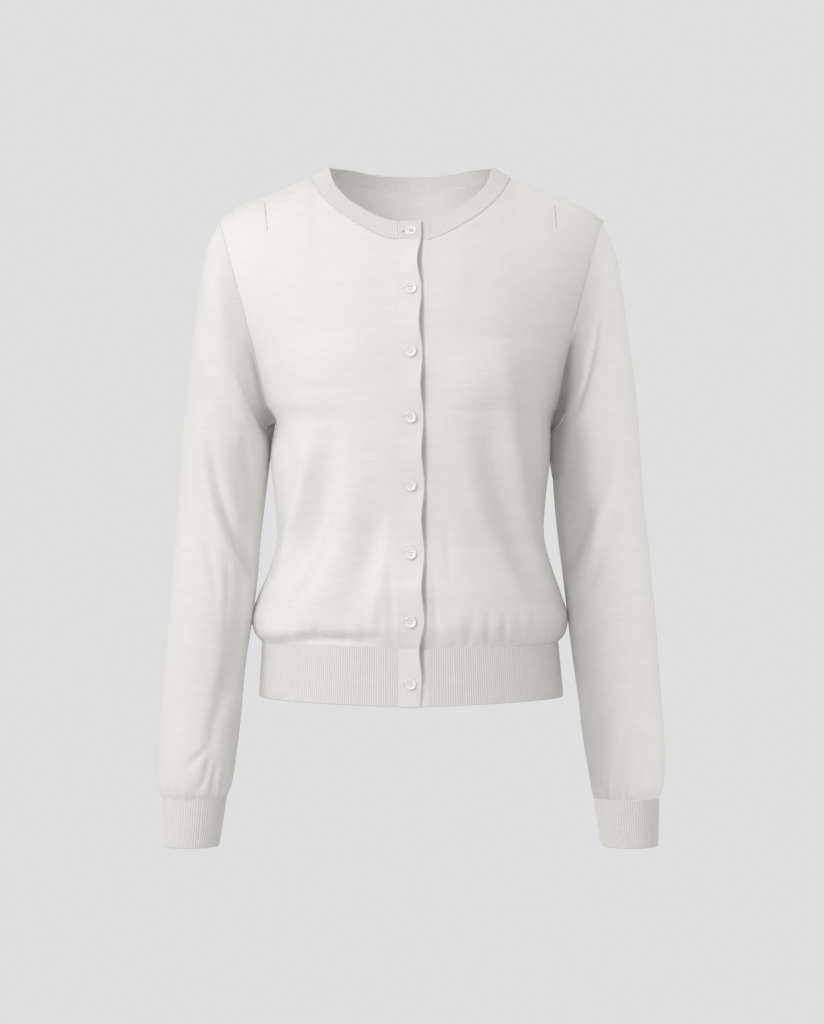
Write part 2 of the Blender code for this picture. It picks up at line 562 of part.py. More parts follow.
def ribbed_wall(piece, pitch):
    """Make a wall of two rows, with ribs raised in its outer points over a plain inside."""
    top, bottom = piece.points.reshape(2, piece.columns, 3)
    top_lean, bottom_lean = piece.normals.reshape(2, piece.columns, 3)
    cells = piece.columns if piece.ring else piece.columns - 1
    points, faces = [], []

    def keep(*new):
        points.extend(new)
        return range(len(points) - len(new), len(points))

    inside = [keep(top[i] - top_lean[i] * WALL, bottom[i] - bottom_lean[i] * WALL)
              for i in range(piece.columns)]
    valleys = [keep(top[i], bottom[i]) for i in range(piece.columns)]
    for i in range(cells):
        k = (i + 1) % piece.columns
        length = np.linalg.norm(top[k] - top[i])
        count = max(1, round(length / pitch))
        left = valleys[i]
        split = count // 2
        for rib in range(count):
            centre, end = (rib + 0.5) / count, (rib + 1) / count
            upper_lean = top_lean[i] * (1 - centre) + top_lean[k] * centre
            lower_lean = bottom_lean[i] * (1 - centre) + bottom_lean[k] * centre
            crest = keep(top[i] * (1 - centre) + top[k] * centre + upper_lean * RIB_RISE,
                         bottom[i] * (1 - centre) + bottom[k] * centre + lower_lean * RIB_RISE)
            right = valleys[k]
            if rib < count - 1:
                right = keep(top[i] * (1 - end) + top[k] * end, bottom[i] * (1 - end) + bottom[k] * end)
            faces.append((left[0], left[1], crest[1], crest[0]))
            faces.append((crest[0], crest[1], right[1], right[0]))
            near = inside[i] if rib < split else inside[k]
            faces.append((left[0], crest[0], right[0]))
            faces.append((right[1], crest[1], left[1]))
            faces.append((near[0], left[0], right[0]))
            faces.append((right[1], left[1], near[1]))
            if rib == split:
                faces.append((inside[i][0], left[0], inside[k][0]))
                faces.append((inside[k][1], left[1], inside[i][1]))
            left = right
        faces.append((inside[i][0], inside[k][0], inside[k][1], inside[i][1]))
    if not piece.ring:
        first, last = 0, piece.columns - 1
        faces.append((valleys[first][1], valleys[first][0], inside[first][0], inside[first][1]))
        faces.append((valleys[last][0], valleys[last][1], inside[last][1], inside[last][0]))
    if not piece.flip:
        faces = [face[::-1] for face in faces]
    add_object(piece.name, points, faces, IVORY, 0.9, crease=60.0)


# ---------------------------------------------------------------- bands and buttons

def free_edge(z):
    """Return where the free edge of the top band lies at a height."""
    z = np.asarray(z, dtype=float)
    heights = BUTTONS["z"]
    k = np.clip(np.searchsorted(-heights, -z, side="right") - 1, 0, len(heights) - 1)
    following = np.minimum(k + 1, len(heights) - 1)
    span = np.where(following > k, heights[k] - heights[following], 0.04)
    t = np.clip((heights[k] - z) / span, 0, 1)
    beside = BUTTONS["edge_beside"][k] * (1 - t) + BUTTONS["edge_beside"][following] * t
    wave = (1 - np.cos(2 * math.pi * t)) / 2
    return beside + (BUTTONS["edge_below"][k] - beside) * wave


def placket_row(x, station):
    """Return points across the middle of the front at signed distances x, in one trunk row."""
    out = []
    for distance in x:
        side = -1 if distance < 0 else 1
        ratio = abs(distance) / half_width(side, station)
        out.append(trunk_point("front", side, np.array([station]), np.array([ratio]))[0])
    return np.array(out)


def neckband_top(seam, around):
    """Return the neckband's upper edge over a run of seam points, around from 0 to 1."""
    across, ahead = seam[:, 0] * NECK_CENTRE_X, seam[:, 1] - NECK_CENTRE_Y
    radial = np.stack((across, ahead, np.zeros(len(seam))), axis=-1)
    radial /= np.linalg.norm(radial, axis=1, keepdims=True)
    inward = smooth(NECKBAND["around"], NECKBAND["inward"], around)
    rise = smooth(NECKBAND["around"], NECKBAND["rise"], around)
    return seam - radial * inward[:, None] + np.array((0, 0, 1)) * rise[:, None]


def band_grid(x_of_z, count):
    """Return a band's grid, from the hem's edge up to the neck's edge."""
    rows = []
    stations = np.concatenate((np.linspace(0, UNDERARM, LOWER_ROWS + 1),
                               np.linspace(UNDERARM, NECK_MIDDLE, UPPER_ROWS + 1)[1:]))
    for station in stations:
        height = trunk_point("front", -1, np.array([station]), np.array([0.0]))[0, 2]
        rows.append(placket_row(np.linspace(*x_of_z(height), count), station))
    hem = []
    for distance in np.linspace(*x_of_z(HEM_EDGE["front_z"]), count):
        side = -1 if distance < 0 else 1
        hem.append(hem_edge("front", side, np.array([abs(distance) / hem_half(side)]))[0])
    rows.insert(0, np.array(hem))
    neck = neckband_top(rows[-1], np.zeros(count))
    neck[:, 0] = np.linspace(*x_of_z(neck[0, 2]), count)
    rows.append(neck)
    return np.array(rows)


def build_button(name, centre_y, slope, z):
    """Turn a four-hole button's plain form, lying on the band at a height."""
    turn = np.linspace(0, 2 * math.pi, BUTTON_SIDES, endpoint=False)
    points = []
    for radius, height in zip(BUTTON_PROFILE["radius"], BUTTON_PROFILE["height"]):
        reach = radius * BUTTON_RADIUS
        ring = turn if radius > 0 else turn[:1]
        points.extend((reach * math.cos(a), -height, reach * math.sin(a)) for a in ring)
    faces = []
    count = BUTTON_SIDES
    rings = len(BUTTON_PROFILE["radius"]) - 2
    last = 1 + rings * count
    for i in range(count):
        k = (i + 1) % count
        faces.append((0, 1 + k, 1 + i))
        for r in range(rings - 1):
            a, b = 1 + r * count, 1 + (r + 1) * count
            faces.append((a + i, a + k, b + k, b + i))
        faces.append((last - count + i, last - count + k, last))
    item = add_object(name, points, faces, PEARL, 0.3, crease=50.0)
    item.rotation_euler = (slope, 0.0, 0.0)
    outward = np.array((0.0, -math.cos(slope), -math.sin(slope)))
    item.location = np.array((0.0, centre_y, z)) + outward * BUTTON_GAP


# ---------------------------------------------------------------- the garment

def build():
    """Make every piece of the cardigan."""
    front_right = half_panel("front", -1, -BAND_RIGHT_SEAM, FRONT_NECK_COLUMNS)
    front_left = half_panel("front", 1, BAND_LEFT_SEAM, FRONT_NECK_COLUMNS)
    half_neck = BACK_NECK_COLUMNS // 2
    back_right = half_panel("back", -1, CENTRE_LINE, half_neck)
    back_left = half_panel("back", 1, CENTRE_LINE, half_neck)
    back_right[:, -1, 0] = 0.0
    back = np.concatenate((back_right, back_left[:, -2::-1]), axis=1)
    sleeve_right, cuff_right = sleeve_grid(SLEEVE_RIGHT, front_right, back_right, -1)
    sleeve_left, cuff_left = sleeve_grid(SLEEVE_LEFT, front_left, back_left, 1)
    hem_front_right = np.array((front_right[0], hem_row("front", -1, front_right[0])))
    hem_front_left = np.array((front_left[0], hem_row("front", 1, front_left[0])))
    edge_right, edge_left = hem_row("back", -1, back_right[0]), hem_row("back", 1, back_left[0])
    edge_right[-1, 0] = 0.0
    hem_back = np.array((back[0], np.concatenate((edge_right, edge_left[-2::-1]))))

    band_right = band_grid(lambda z: (BAND_RIGHT_SEAM, float(free_edge(z))), 4)
    band_left = band_grid(lambda z: (BAND_LEFT_FREE, BAND_LEFT_SEAM), 4)
    band_right[1:-1, 0] = front_right[:, -1]
    band_left[1:-1, -1] = front_left[:, -1]
    band_right[0, 0] = hem_front_right[1, -1]
    band_left[0, -1] = hem_front_left[1, -1]

    neck = slice(SHOULDER_COLUMNS, None)
    seam = np.concatenate((front_right[-1, neck][::-1], back[-1, neck][1:-SHOULDER_COLUMNS],
                           front_left[-1, neck][1:]))
    front_part = np.linspace(0, 0.5, FRONT_NECK_COLUMNS + 1)
    back_part = np.linspace(0.5, 1, half_neck + 1)
    around = np.concatenate((front_part, back_part[1:], back_part[-2::-1], front_part[-2::-1]))
    top = neckband_top(seam, around)
    top[0, 0], top[-1, 0] = BAND_RIGHT_SEAM, BAND_LEFT_SEAM
    band_right[-1, 0], band_left[-1, -1] = top[0], top[-1]
    neckband = np.array((top, seam))

    front_left, hem_front_left, band_left = map(behind_lap, (front_left, hem_front_left, band_left))
    lapped = behind_lap(neckband)
    ahead = (neckband[..., 1] < -0.03) & (neckband[..., 0] > 0)
    neckband[ahead] = lapped[ahead]

    pieces = {
        "front_right": Piece("front_right", front_right, flip=False),
        "front_left": Piece("front_left", front_left, flip=True),
        "back": Piece("back", back, flip=True),
        "sleeve_right": Piece("sleeve_right", sleeve_right, ring=True, flip=True),
        "sleeve_left": Piece("sleeve_left", sleeve_left, ring=True, flip=False),
        "cuff_right": Piece("cuff_right", cuff_right, ring=True, flip=True),
        "cuff_left": Piece("cuff_left", cuff_left, ring=True, flip=False),
        "hem_front_right": Piece("hem_front_right", hem_front_right, flip=True),
        "hem_front_left": Piece("hem_front_left", hem_front_left, flip=False),
        "hem_back": Piece("hem_back", hem_back, flip=False),
        "neckband": Piece("neckband", neckband, flip=False),
        "band_right": Piece("band_right", band_right, flip=False),
        "band_left": Piece("band_left", band_left, flip=False),
    }
    pieces["front_right"].fold(FOLDS["front_right"], -1)
    pieces["front_left"].fold(FOLDS["front_left"], -1)
    pieces["back"].fold(FOLDS["back"], 1)
    for name in ("sleeve_right", "sleeve_left"):
        pieces[name].fold(FOLDS[name + "_front"], -1)
        pieces[name].fold(FOLDS[name + "_back"], 1)
    sew(pieces.values())

    pitches = {"cuff_right": CUFF_PITCH, "cuff_left": CUFF_PITCH, "hem_front_right": HEM_PITCH,
               "hem_front_left": HEM_PITCH, "hem_back": HEM_PITCH, "neckband": NECK_PITCH}
    for name, piece in pieces.items():
        if name in pitches:
            ribbed_wall(piece, pitches[name])
        else:
            plain_wall(piece)

    line = pieces["band_right"].points.reshape(-1, 4, 3)[:, 1:3].mean(axis=1)
    for number, z in enumerate(BUTTONS["z"], start=1):
        reach = np.interp((z - BUTTON_RADIUS, z, z + BUTTON_RADIUS), line[:, 2], line[:, 1])
        slope = -math.atan((reach[2] - reach[0]) / (2 * BUTTON_RADIUS))
        build_button(f"button_{number}", min(reach[1], (reach[0] + reach[2]) / 2), slope, z)


for old in list(bpy.data.objects):
    bpy.data.objects.remove(old, do_unlink=True)
build()
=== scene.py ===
"""The looks of a crew-neck button cardigan in fine knit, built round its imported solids.

Metres, +Z up. The front faces -Y and the wearer's right is at -X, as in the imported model. Each
piece of cloth is worked out again from the sizes of its solid on a finer grid, and then gets its
creases, gathers, ribs and stitches. The sleeves and the folds have sizes of their own: the sleeves
are set further back at the elbow than the solids' and are a little flatter.
"""

import math

import bpy
import numpy as np
from mathutils import Matrix, Vector


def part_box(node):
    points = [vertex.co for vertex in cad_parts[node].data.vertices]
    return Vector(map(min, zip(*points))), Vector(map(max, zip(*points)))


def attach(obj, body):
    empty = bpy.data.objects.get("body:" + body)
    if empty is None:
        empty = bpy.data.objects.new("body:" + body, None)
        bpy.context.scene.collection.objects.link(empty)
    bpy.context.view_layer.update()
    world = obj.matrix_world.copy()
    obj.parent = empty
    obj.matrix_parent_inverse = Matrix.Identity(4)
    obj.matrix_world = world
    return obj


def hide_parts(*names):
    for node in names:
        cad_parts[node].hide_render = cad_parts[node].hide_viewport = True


# ---------------- sizes of the form

HEM_PITCH = 0.0022
NECK_PITCH = 0.00205
CUFF_PITCH = 0.0025
NECK_HALF = 0.0990
BAND_RIGHT_SEAM = -0.0125
BAND_LEFT_SEAM = 0.0165
BAND_LEFT_FREE = -0.0065
LAP = 0.0015 + 0.00050    # one wall and the space behind it
LAP_BLEND = 0.0550
CROSS_EXPONENT = 0.92
CENTRE_ROUND = 0.08
SHOULDER_SWELL = 0.078
SWELL_POWER = 6
CENTRE_LINE = 1e-9
NECK_CENTRE_Y = -0.012
NECK_CENTRE_X = 0.8
BACK_NECK_CROWDING = 0.80
FRONT_NECK_CROWDING = 0.85
NECK_SEARCHES = 40
BUTTON_RADIUS = 0.0057
LAST_SPAN = 0.04          # how far the last button's share of the band runs below it
SLEEVE_SLANT = 0.08       # how far a sleeve's courses rise towards its outer side
CAP_RINGS = 5             # over these a sleeve goes from the armhole's shape to an oval

# Row numbers of the trunk's table
UNDERARM = 8
NECK_MIDDLE = 14
SHOULDER = 17

# Grid sizes, in cells
LOWER_ROWS = 84
UPPER_ROWS = 84
SHOULDER_COLUMNS = 36
FRONT_NECK_COLUMNS = 54
BACK_NECK_COLUMNS = 60
SLEEVE_ROWS = 190
BAND_COLUMNS = 14
BAND_HEM_ROWS = 24
BAND_NECK_ROWS = 12

UNITS = 1e4               # the long tables are in whole tenths of a millimetre


def table(columns, rows, units=1.0):
    """Return one array for each named column of a table, in metres."""
    return {name: np.array(values) / units for name, values in zip(columns.split(), zip(*rows))}


TRUNK = table("edge_z right left front_edge back_edge start front front_z back back_z", (
    (-4635, 1475, 1470, 0, 0, 0, -1075, -4655, 990, -4650),
    (-4530, 1560, 1545, 0, 0, 0, -1118, -4570, 1080, -4560),
    (-4390, 1588, 1572, 0, 0, 0, -1162, -4420, 1110, -4410),
    (-4150, 1510, 1500, 0, 0, 0, -1160, -4160, 1080, -4160),
    (-3880, 1395, 1405, 0, 0, 0, -1120, -3880, 1030, -3880),
    (-3550, 1327, 1327, 0, 0, 0, -1085, -3550, 990, -3550),
    (-3150, 1360, 1355, 0, 0, 0, -1110, -3150, 990, -3150),
    (-2780, 1395, 1395, 0, 0, 0, -1145, -2800, 1010, -2790),
    (-2460, 1345, 1400, 0, 0, 0, -1165, -2480, 1030, -2470),
    (-2260, 1450, 1450, -210, 235, 14, -1172, -2210, 1042, -2240),
    (-2035, 1490, 1485, -335, 375, 24, -1165, -1920, 1050, -1990),
    (-1770, 1540, 1540, -420, 475, 32, -1140, -1620, 1055, -1710),
    (-1485, 1610, 1610, -475, 535, 38, -1098, -1310, 1042, -1410),
    (-1195, 1685, 1685, -485, 550, 42, -1030, -990, 1008, -1090),
    (-915, 1765, 1765, -450, 515, 45, -920, -685, 940, -760),
    (-670, 1835, 1835, -360, 415, 47, -740, -270, 810, -360),
    (-490, 1890, 1890, -200, 230, 49, -430, 130, 520, 80),
    (-420, 1920, 1925, 0, 0, 50, 0, 391, 0, 391),
), UNITS)
TRUNK["start"] = np.rint(TRUNK["start"] * UNITS)    # this column is in degrees
HEM_EDGE = {"edge_z": -0.5170, "right": 0.1508, "left": 0.1522, "front": -0.1060,
            "front_z": -0.5220, "back": 0.0985, "back_z": -0.5200}
NECKS = {
    "front": table("x z", ((0.0, -0.0695), (0.0200, -0.0680), (0.0385, -0.0605),
                           (0.0493, -0.0540), (0.0682, -0.0415), (0.0794, -0.0311),
                           (0.0893, -0.0195), (0.0990, 0.0))),
    "back": table("x z", ((0.0, -0.0076), (0.0300, -0.0066), (0.0500, -0.0045),
                          (0.0750, -0.0010), (0.0990, 0.0))),
}
NECKBAND = table("around inward rise", (
    (0.0, 0.0080, 0.0180), (0.25, 0.0130, 0.0125), (0.50, 0.0170, 0.0100),
    (0.75, 0.0110, 0.0130), (1.0, 0.0070, 0.0150)))
SLEEVES = table("outer_right inner_right outer_left inner_left outer_z inner_z centre_y depth", (
    (1920, 1345, 1925, 1400, -420, -2460, 0, 490),
    (2034, 1440, 2034, 1455, -641, -2490, -10, 560),
    (2104, 1465, 2104, 1469, -951, -2530, -15, 595),
    (2149, 1430, 2149, 1430, -1301, -2591, -20, 600),
    (2192, 1418, 2197, 1420, -1702, -2671, -35, 590),
    (2236, 1407, 2245, 1414, -2102, -2791, -20, 545),
    (2278, 1425, 2278, 1430, -2503, -2971, -20, 520),
    (2304, 1455, 2299, 1448, -2902, -3231, -35, 495),
    (2334, 1490, 2334, 1480, -3350, -3578, -95, 470),
    (2373, 1526, 2378, 1526, -3845, -3994, -185, 450),
    (2413, 1577, 2418, 1573, -4339, -4438, -290, 440),
    (2444, 1630, 2449, 1620, -4802, -4861, -345, 425),
    (2476, 1667, 2481, 1677, -5273, -5293, -395, 410),
    (2502, 1711, 2502, 1724, -5684, -5684, -450, 400),
    (2500, 1742, 2500, 1762, -5938, -5938, -475, 385),
    (2474, 1775, 2479, 1780, -6075, -6065, -490, 350),
    (2434, 1812, 2439, 1802, -6153, -6148, -495, 305),
), UNITS)
CUFF_EDGE = {"outer_x": 0.2430, "outer_z": -0.6610, "inner_x": 0.1880, "inner_z": -0.6610,
             "centre_y": -0.0535, "depth": 0.0283}
BUTTONS = table("z edge_beside edge_below", (
    (-0.0614, 0.0102, 0.0060), (-0.1181, 0.0102, 0.0077), (-0.1792, 0.0111, 0.0092),
    (-0.2427, 0.0120, 0.0101), (-0.3080, 0.0130, 0.0101), (-0.3745, 0.0130, 0.0101),
    (-0.4397, 0.0130, 0.0080), (-0.4998, 0.0101, 0.0092)))

# Each row of these tables is a path of three points (x, z) as seen from the front, a height and
# a width. A trough has a negative height.
FOLDS = {
    "front_right": (
        (-983, -2498, -1016, -3248, -1379, -4095, 55, 80),
        (-828, -2498, -736, -3490, -1360, -4269, -110, 140),
        (-566, -2788, -499, -3597, -1012, -4269, 40, 160),
        (-324, -3224, -319, -3747, -605, -4308, -50, 140),
        (-160, -3321, -227, -3655, -373, -4318, 15, 70),
        (-102, -3175, -169, -3727, -169, -4579, -25, 60),
        (-1554, -4463, -1321, -4560, -1050, -4502, 35, 80),
        (-800, -1578, -800, -1849, -800, -2150, 40, 380),
    ),
    "front_left": (
        (886, -1772, 992, -3021, 1447, -4114, 70, 120),
        (741, -2401, 750, -3248, 1379, -4192, -65, 120),
        (557, -2546, 460, -3127, 1060, -4095, 15, 80),
        (353, -3417, 373, -3708, 392, -3998, -10, 35),
        (208, -4056, 218, -4347, 227, -4637, -25, 40),
        (790, -1650, 790, -1950, 800, -2350, 90, 380),
    ),
    "back": (
        (0, -1200, 20, -2000, 0, -2800, -30, 220),
        (-1120, -2100, -800, -2500, -500, -3300, -35, 130),
        (1100, -2150, 820, -2580, 460, -3200, -35, 130),
        (-1250, -2900, -920, -3300, -700, -4000, 35, 130),
        (1220, -3000, 960, -3500, 780, -4200, 35, 130),
        (-400, -3600, -460, -4000, -540, -4500, -40, 120),
        (300, -3500, 340, -4000, 480, -4500, -40, 120),
        (-60, -3700, -80, -4100, -40, -4500, 30, 130),
        (-980, -3700, -1060, -4100, -1160, -4500, -35, 120),
        (1000, -3800, 1080, -4100, 1140, -4500, -35, 120),
    ),
    "sleeve_right_front": (
        (-2004, -2487, -1911, -3394, -1524, -3928, -75, 60),
        (-2092, -2487, -1999, -3418, -1612, -3987, 25, 70),
        (-1671, -2634, -1632, -3026, -1593, -3418, -50, 130),
        (-1642, -2487, -1612, -2781, -1524, -3173, -25, 40),
        (-2034, -3614, -1945, -3810, -1896, -4153, -20, 40),
        (-1798, -3673, -1759, -3957, -1798, -4594, -25, 40),
        (-1661, -3869, -1671, -4202, -1710, -4447, -20, 40),
        (-1671, -4349, -1749, -4888, -1926, -5525, -48, 70),
        (-1926, -5594, -2034, -5692, -2161, -5819, -25, 40),
        (-1975, -5692, -1945, -5868, -2063, -6064, -25, 35),
        (-1877, -5780, -1906, -5937, -1926, -6094, -25, 30),
        (-1808, -5849, -1828, -5986, -1847, -6113, -20, 30),
        (-1847, -3203, -1681, -3497, -1553, -3948, -50, 55),
    ),
    "sleeve_right_back": (
        (-1680, -1400, -1590, -1950, -1510, -2430, -60, 90),
        (-2220, -2500, -2000, -3000, -1720, -3300, -40, 110),
        (-2200, -3100, -2000, -3550, -1700, -3700, -40, 110),
        (-2150, -4100, -1950, -4350, -1750, -4400, 30, 120),
        (-2300, -5700, -2150, -5850, -1950, -5900, -25, 90),
    ),
    "sleeve_left_front": (
        (1847, -1419, 1798, -1860, 1593, -2419, -35, 34),
        (1926, -3124, 1779, -3595, 1632, -3948, 50, 90),
        (2053, -2536, 2014, -2879, 1955, -3222, 25, 80),
        (2229, -4594, 2239, -5026, 2210, -5339, -20, 50),
        (1857, -5996, 1877, -6064, 1896, -6143, -15, 30),
        (1759, -3252, 1676, -3609, 1534, -3987, -90, 85),
    ),
    "sleeve_left_back": (
        (1680, -1400, 1590, -1950, 1520, -2430, -60, 90),
        (2180, -2550, 2000, -3050, 1720, -3250, -30, 110),
        (2190, -3300, 2000, -3650, 1720, -3800, -32, 110),
        (2150, -4200, 1960, -4400, 1760, -4500, 30, 120),
        (2280, -5750, 2140, -5900, 1960, -5950, -25, 90),
    ),
}
CREASES = {  # finer ones laid over the folds
    "front_right": (
        (-440, -4250, -460, -4400, -450, -4620, -13, 34),
        (-300, -4200, -310, -4400, -290, -4620, -12, 30),
        (-170, -4000, -180, -4300, -160, -4620, -10, 30),
        (-600, -4300, -630, -4460, -640, -4620, -9, 34),
        (-850, -4360, -900, -4470, -940, -4600, -9, 36),
        (-1120, -4340, -1170, -4460, -1210, -4580, -10, 36),
        (-1370, -2400, -1280, -2620, -1120, -2900, -12, 60),
        (-1250, -3000, -1200, -3450, -1280, -4000, 12, 70),
        (-1418, -320, -1400, -480, -1380, -660, -8, 40),
    ),
    "front_left": (
        (540, -4350, 550, -4480, 540, -4630, -20, 30),
        (600, -4300, 610, -4460, 600, -4630, -17, 28),
        (750, -4280, 760, -4440, 750, -4620, -20, 32),
        (910, -4320, 920, -4460, 910, -4600, -20, 32),
        (1060, -4300, 1080, -4440, 1060, -4590, -11, 32),
        (1200, -4300, 1220, -4430, 1210, -4570, -11, 34),
        (220, -3800, 240, -4200, 260, -4620, -12, 40),
        (330, -3510, 350, -3700, 380, -3920, -8, 45),
        (1120, -3000, 1240, -3350, 1300, -3720, -14, 55),
        (950, -3600, 1060, -3950, 1240, -4250, -12, 60),
        (1399, -360, 1405, -480, 1410, -620, -8, 40),
    ),
    "back": (
        (-600, -3000, -520, -3400, -500, -3800, -13, 60),
        (700, -2900, 600, -3300, 560, -3760, -13, 60),
        (-1300, -2400, -1100, -2580, -860, -2800, -12, 60),
        (1300, -2440, 1080, -2620, 820, -2860, -12, 60),
        (120, -3000, 160, -3400, 120, -3800, 10, 80),
    ),
    "sleeve_right_front": (
        (-2060, -3610, -2000, -3730, -1915, -3840, -12, 45),
        (-2180, -3000, -2080, -3220, -1960, -3520, -10, 60),
        (-2000, -4300, -1900, -4520, -1780, -4660, -10, 60),
        (-2240, -5200, -2140, -5450, -2080, -5600, -10, 60),
        (-1950, -5300, -1910, -5600, -1940, -6000, -12, 50),
    ),
    "sleeve_right_back": (
        (-2100, -3500, -1980, -3760, -1800, -3900, -12, 60),
        (-2050, -3000, -1900, -3200, -1740, -3280, -10, 60),
        (-2200, -5000, -2080, -5400, -2040, -5900, -10, 60),
    ),
    "sleeve_left_front": (
        (2150, -2540, 2200, -3000, 2240, -3720, -12, 60),
        (2060, -3000, 1990, -3300, 1920, -3520, -10, 60),
        (1900, -3600, 1830, -3900, 1720, -4100, -14, 55),
        (2140, -5200, 2060, -5450, 2040, -5900, -10, 60),
        (2280, -5600, 2240, -5800, 2180, -6060, -10, 45),
    ),
    "sleeve_left_back": (
        (2080, -3450, 1960, -3720, 1790, -3860, -12, 60),
        (2060, -2900, 1900, -3120, 1740, -3220, -10, 60),
        (2180, -5100, 2080, -5450, 2060, -5900, -10, 60),
    ),
}
VALLEYS = {  # these start close to a seam
    "front_right": (
        (-1220, -4560, -799, -4600, -360, -4575, -36, 55),
    ),
    "front_left": (
        (1099, -2207, 1225, -2933, 1312, -3466, -60, 100),
    ),
}
CLEFTS = {  # pressed straight back, where a sleeve's inner side turns away beside the trunk
    "sleeve_right": (
        (-1612, -1694, -1536, -1870, -1490, -2125, -80, 28),
        (-1494, -2007, -1470, -2223, -1406, -2438, -70, 30),
        (-1642, -1605, -1597, -2095, -1573, -2585, 50, 90),
        (-1563, -2928, -1612, -3614, -1739, -5084, -70, 80),
    ),
    "sleeve_left": (
        (1563, -1556, 1548, -2086, 1436, -2928, -340, 60),
        (1573, -2340, 1539, -2953, 1642, -3859, -160, 120),
    ),
}
# In this order, and how far from a piece's edge each layer reaches its full height
LAYERS = ((FOLDS, 0.014), (CREASES, 0.0035), (VALLEYS, 0.0050), (CLEFTS, 0.0040))
CLEFT_WALL = 0.0040       # a cleft stops this far short of the wall behind it
LEAST_ROOM = 1e-6
FOLD_SAMPLES = 40
FADE_START = 0.04         # a fold's height is this part of a sine wave
FADE_END = 0.86
FACING_RATE = 2.0         # how fast a fold fades where the cloth turns to the side
CLEFT_FACING = 0.35       # a cleft still acts where it turns a little past the side
CLEFT_FACING_RATE = 1.6
HOLLOW_LIMIT = 0.35       # how hollow a seam is before its two sides stop leaning together
MEETING = 1e5             # points that agree to a hundredth of a millimetre meet in a seam

# ---------------- sizes of the looks alone

CLOTH = 0.0011            # the shown cloth, a little thinner than its wall
RIB_CLOTH = 0.0012
BAND_CLOTH = 0.0018       # the bands are double
TIGHT_GAP = 0.00002       # neighbours nearly touch in a seam
SEAM_DIP = 0.00022        # and both sink into it
RIB_SEAM_DIP = 0.00002    # a rib runs on from the plain knit with hardly a groove
RIM_BULGE = 0.5           # how round a free edge is, as a share of the cloth
SEWN_BULGE = 0.3          # and a sewn one, as a share of the gap
RIB_HEIGHT = 0.00055
NECK_RIB_HEIGHT = 0.00038
RIB_STEPS = 6             # columns in one rib
RIB_ROWS = 12
RIB_WANDER = 0.09
RIB_SIZES = (0.82, 1.15)
RIB_CREST = 0.8
RIB_TURN = 0.25           # what is left of a rib's height at its turned edge

GATHER_SPACING = 0.0095   # small gathers above the hem rib and the cuffs
GATHER_RISE = 0.00075
GATHER_WIDTH = 0.0026
GATHER_LENGTH = 0.0170
GATHER_START = 0.003
GATHER_SHIFT = 0.38
GATHER_LEAN = 0.22
GATHER_REACHES = (0.45, 1.6)
GATHER_SIZES = (0.25, 1.25)
GATHER_WIDTHS = (0.8, 1.5)
GATHER_RIDGE = (0.6, 1.9, 1.2)    # the ridge beside each: its height, its place and its width
FINE_GATHERS = (0.42, 0.5)        # finer ones between them: spacing, and all other sizes
UNDULATION = 0.00038      # the soft unevenness of hanging knit
WAVES = 14
WAVE_ACROSS = 110
WAVE_UP = 60
WAVE_MARGIN = 0.02
SIDE_MARGIN = 0.006
UV_LEVEL = 0.6            # how far a panel's courses keep to one level

# Below the underarm the back of each sleeve's inner side lies close to the trunk
TUCK_SPAN = (-0.2150, -0.2950, 0.0220)    # top, bottom and fade
TUCK_MIDDLE = 0.0140
TUCK_WIDTH = 0.0100
TUCK_REACH = 0.1600
TUCK_FORM = 0.1000
TUCK_CLEAR = 0.0022
TUCK_LEAST = 0.002

# Over this height the inner side of a sleeve turns behind the trunk
TURNS = {"sleeve_right": 0.0050, "sleeve_left": 0.0170}
TURN_SPAN = (-0.1650, -0.5900, 0.0450)
TURN_ROWS = 10
TURN_POWER = 3

HEAD_ROUNDS = 60          # how much a sleeve's head is rounded where the shoulder seam ends
HEAD_COLUMNS = 7
HEAD_ROWS = 62
HEAD_START = 6
HEAD_END = 30

PLACKET_LIFT = 0.0033     # the free edge stands off between the buttons
LIFT_POWER = 1.6
PLACKET_GROOVE = 0.0044   # and the band below sinks along it
GROOVE_WIDTH = 0.0025
GROOVE_SHIFT = 0.0012
GROOVE_LEAST = 0.35       # a button still leaves this share of the groove
BUTTON_DIMPLE = 0.0003
BUTTON_DIMPLE_WIDTH = 0.0090
NECK_AHEAD = -0.03        # the neckband is laid behind the lap in front of this

SEAM_PITCH = 0.0017       # one linking stitch
SEAM_STRAND = 0.00028
STITCH_SLANT = 0.30
STITCH_APART = 0.85       # its two strands' distance and thickness, as shares of a strand
STITCH_THICK = 0.8
STITCH_LENGTH = 0.60      # and their half length, as a share of the pitch
STITCHES = {  # how far each line stands off the cloth, and how thick its strands are
    "seam": (0.00002, 1.0), "inside": (0.0001, 1.3),
    "armhole": (0.0001 - SEAM_DIP, 1.0), "dart": (0.00005, 0.9),
}
DARTS = {"right": (-0.1443, -0.0270, -0.1404, -0.0580),
         "left": (0.1424, -0.0314, 0.1434, -0.0547)}
DART_POINTS = 12
DART_NEAR = 4             # each of them follows this many points of the cloth
DART_SOFT = 0.0001
SLIT_STARTS = (-0.0086, -0.0064, -0.0062, -0.0065, -0.0062, -0.0064, -0.0062, -0.0064)
SLIT_END = 0.0020
SLIT_HALF = 0.00042
SLIT_POINTS = 13
SLIT_RISE = 0.00012
SLIT_EDGING = 0.00042
SLIT_STITCH = (0.00048, 0.00024, 0.00016)
SLIT_PITCH = 0.00055

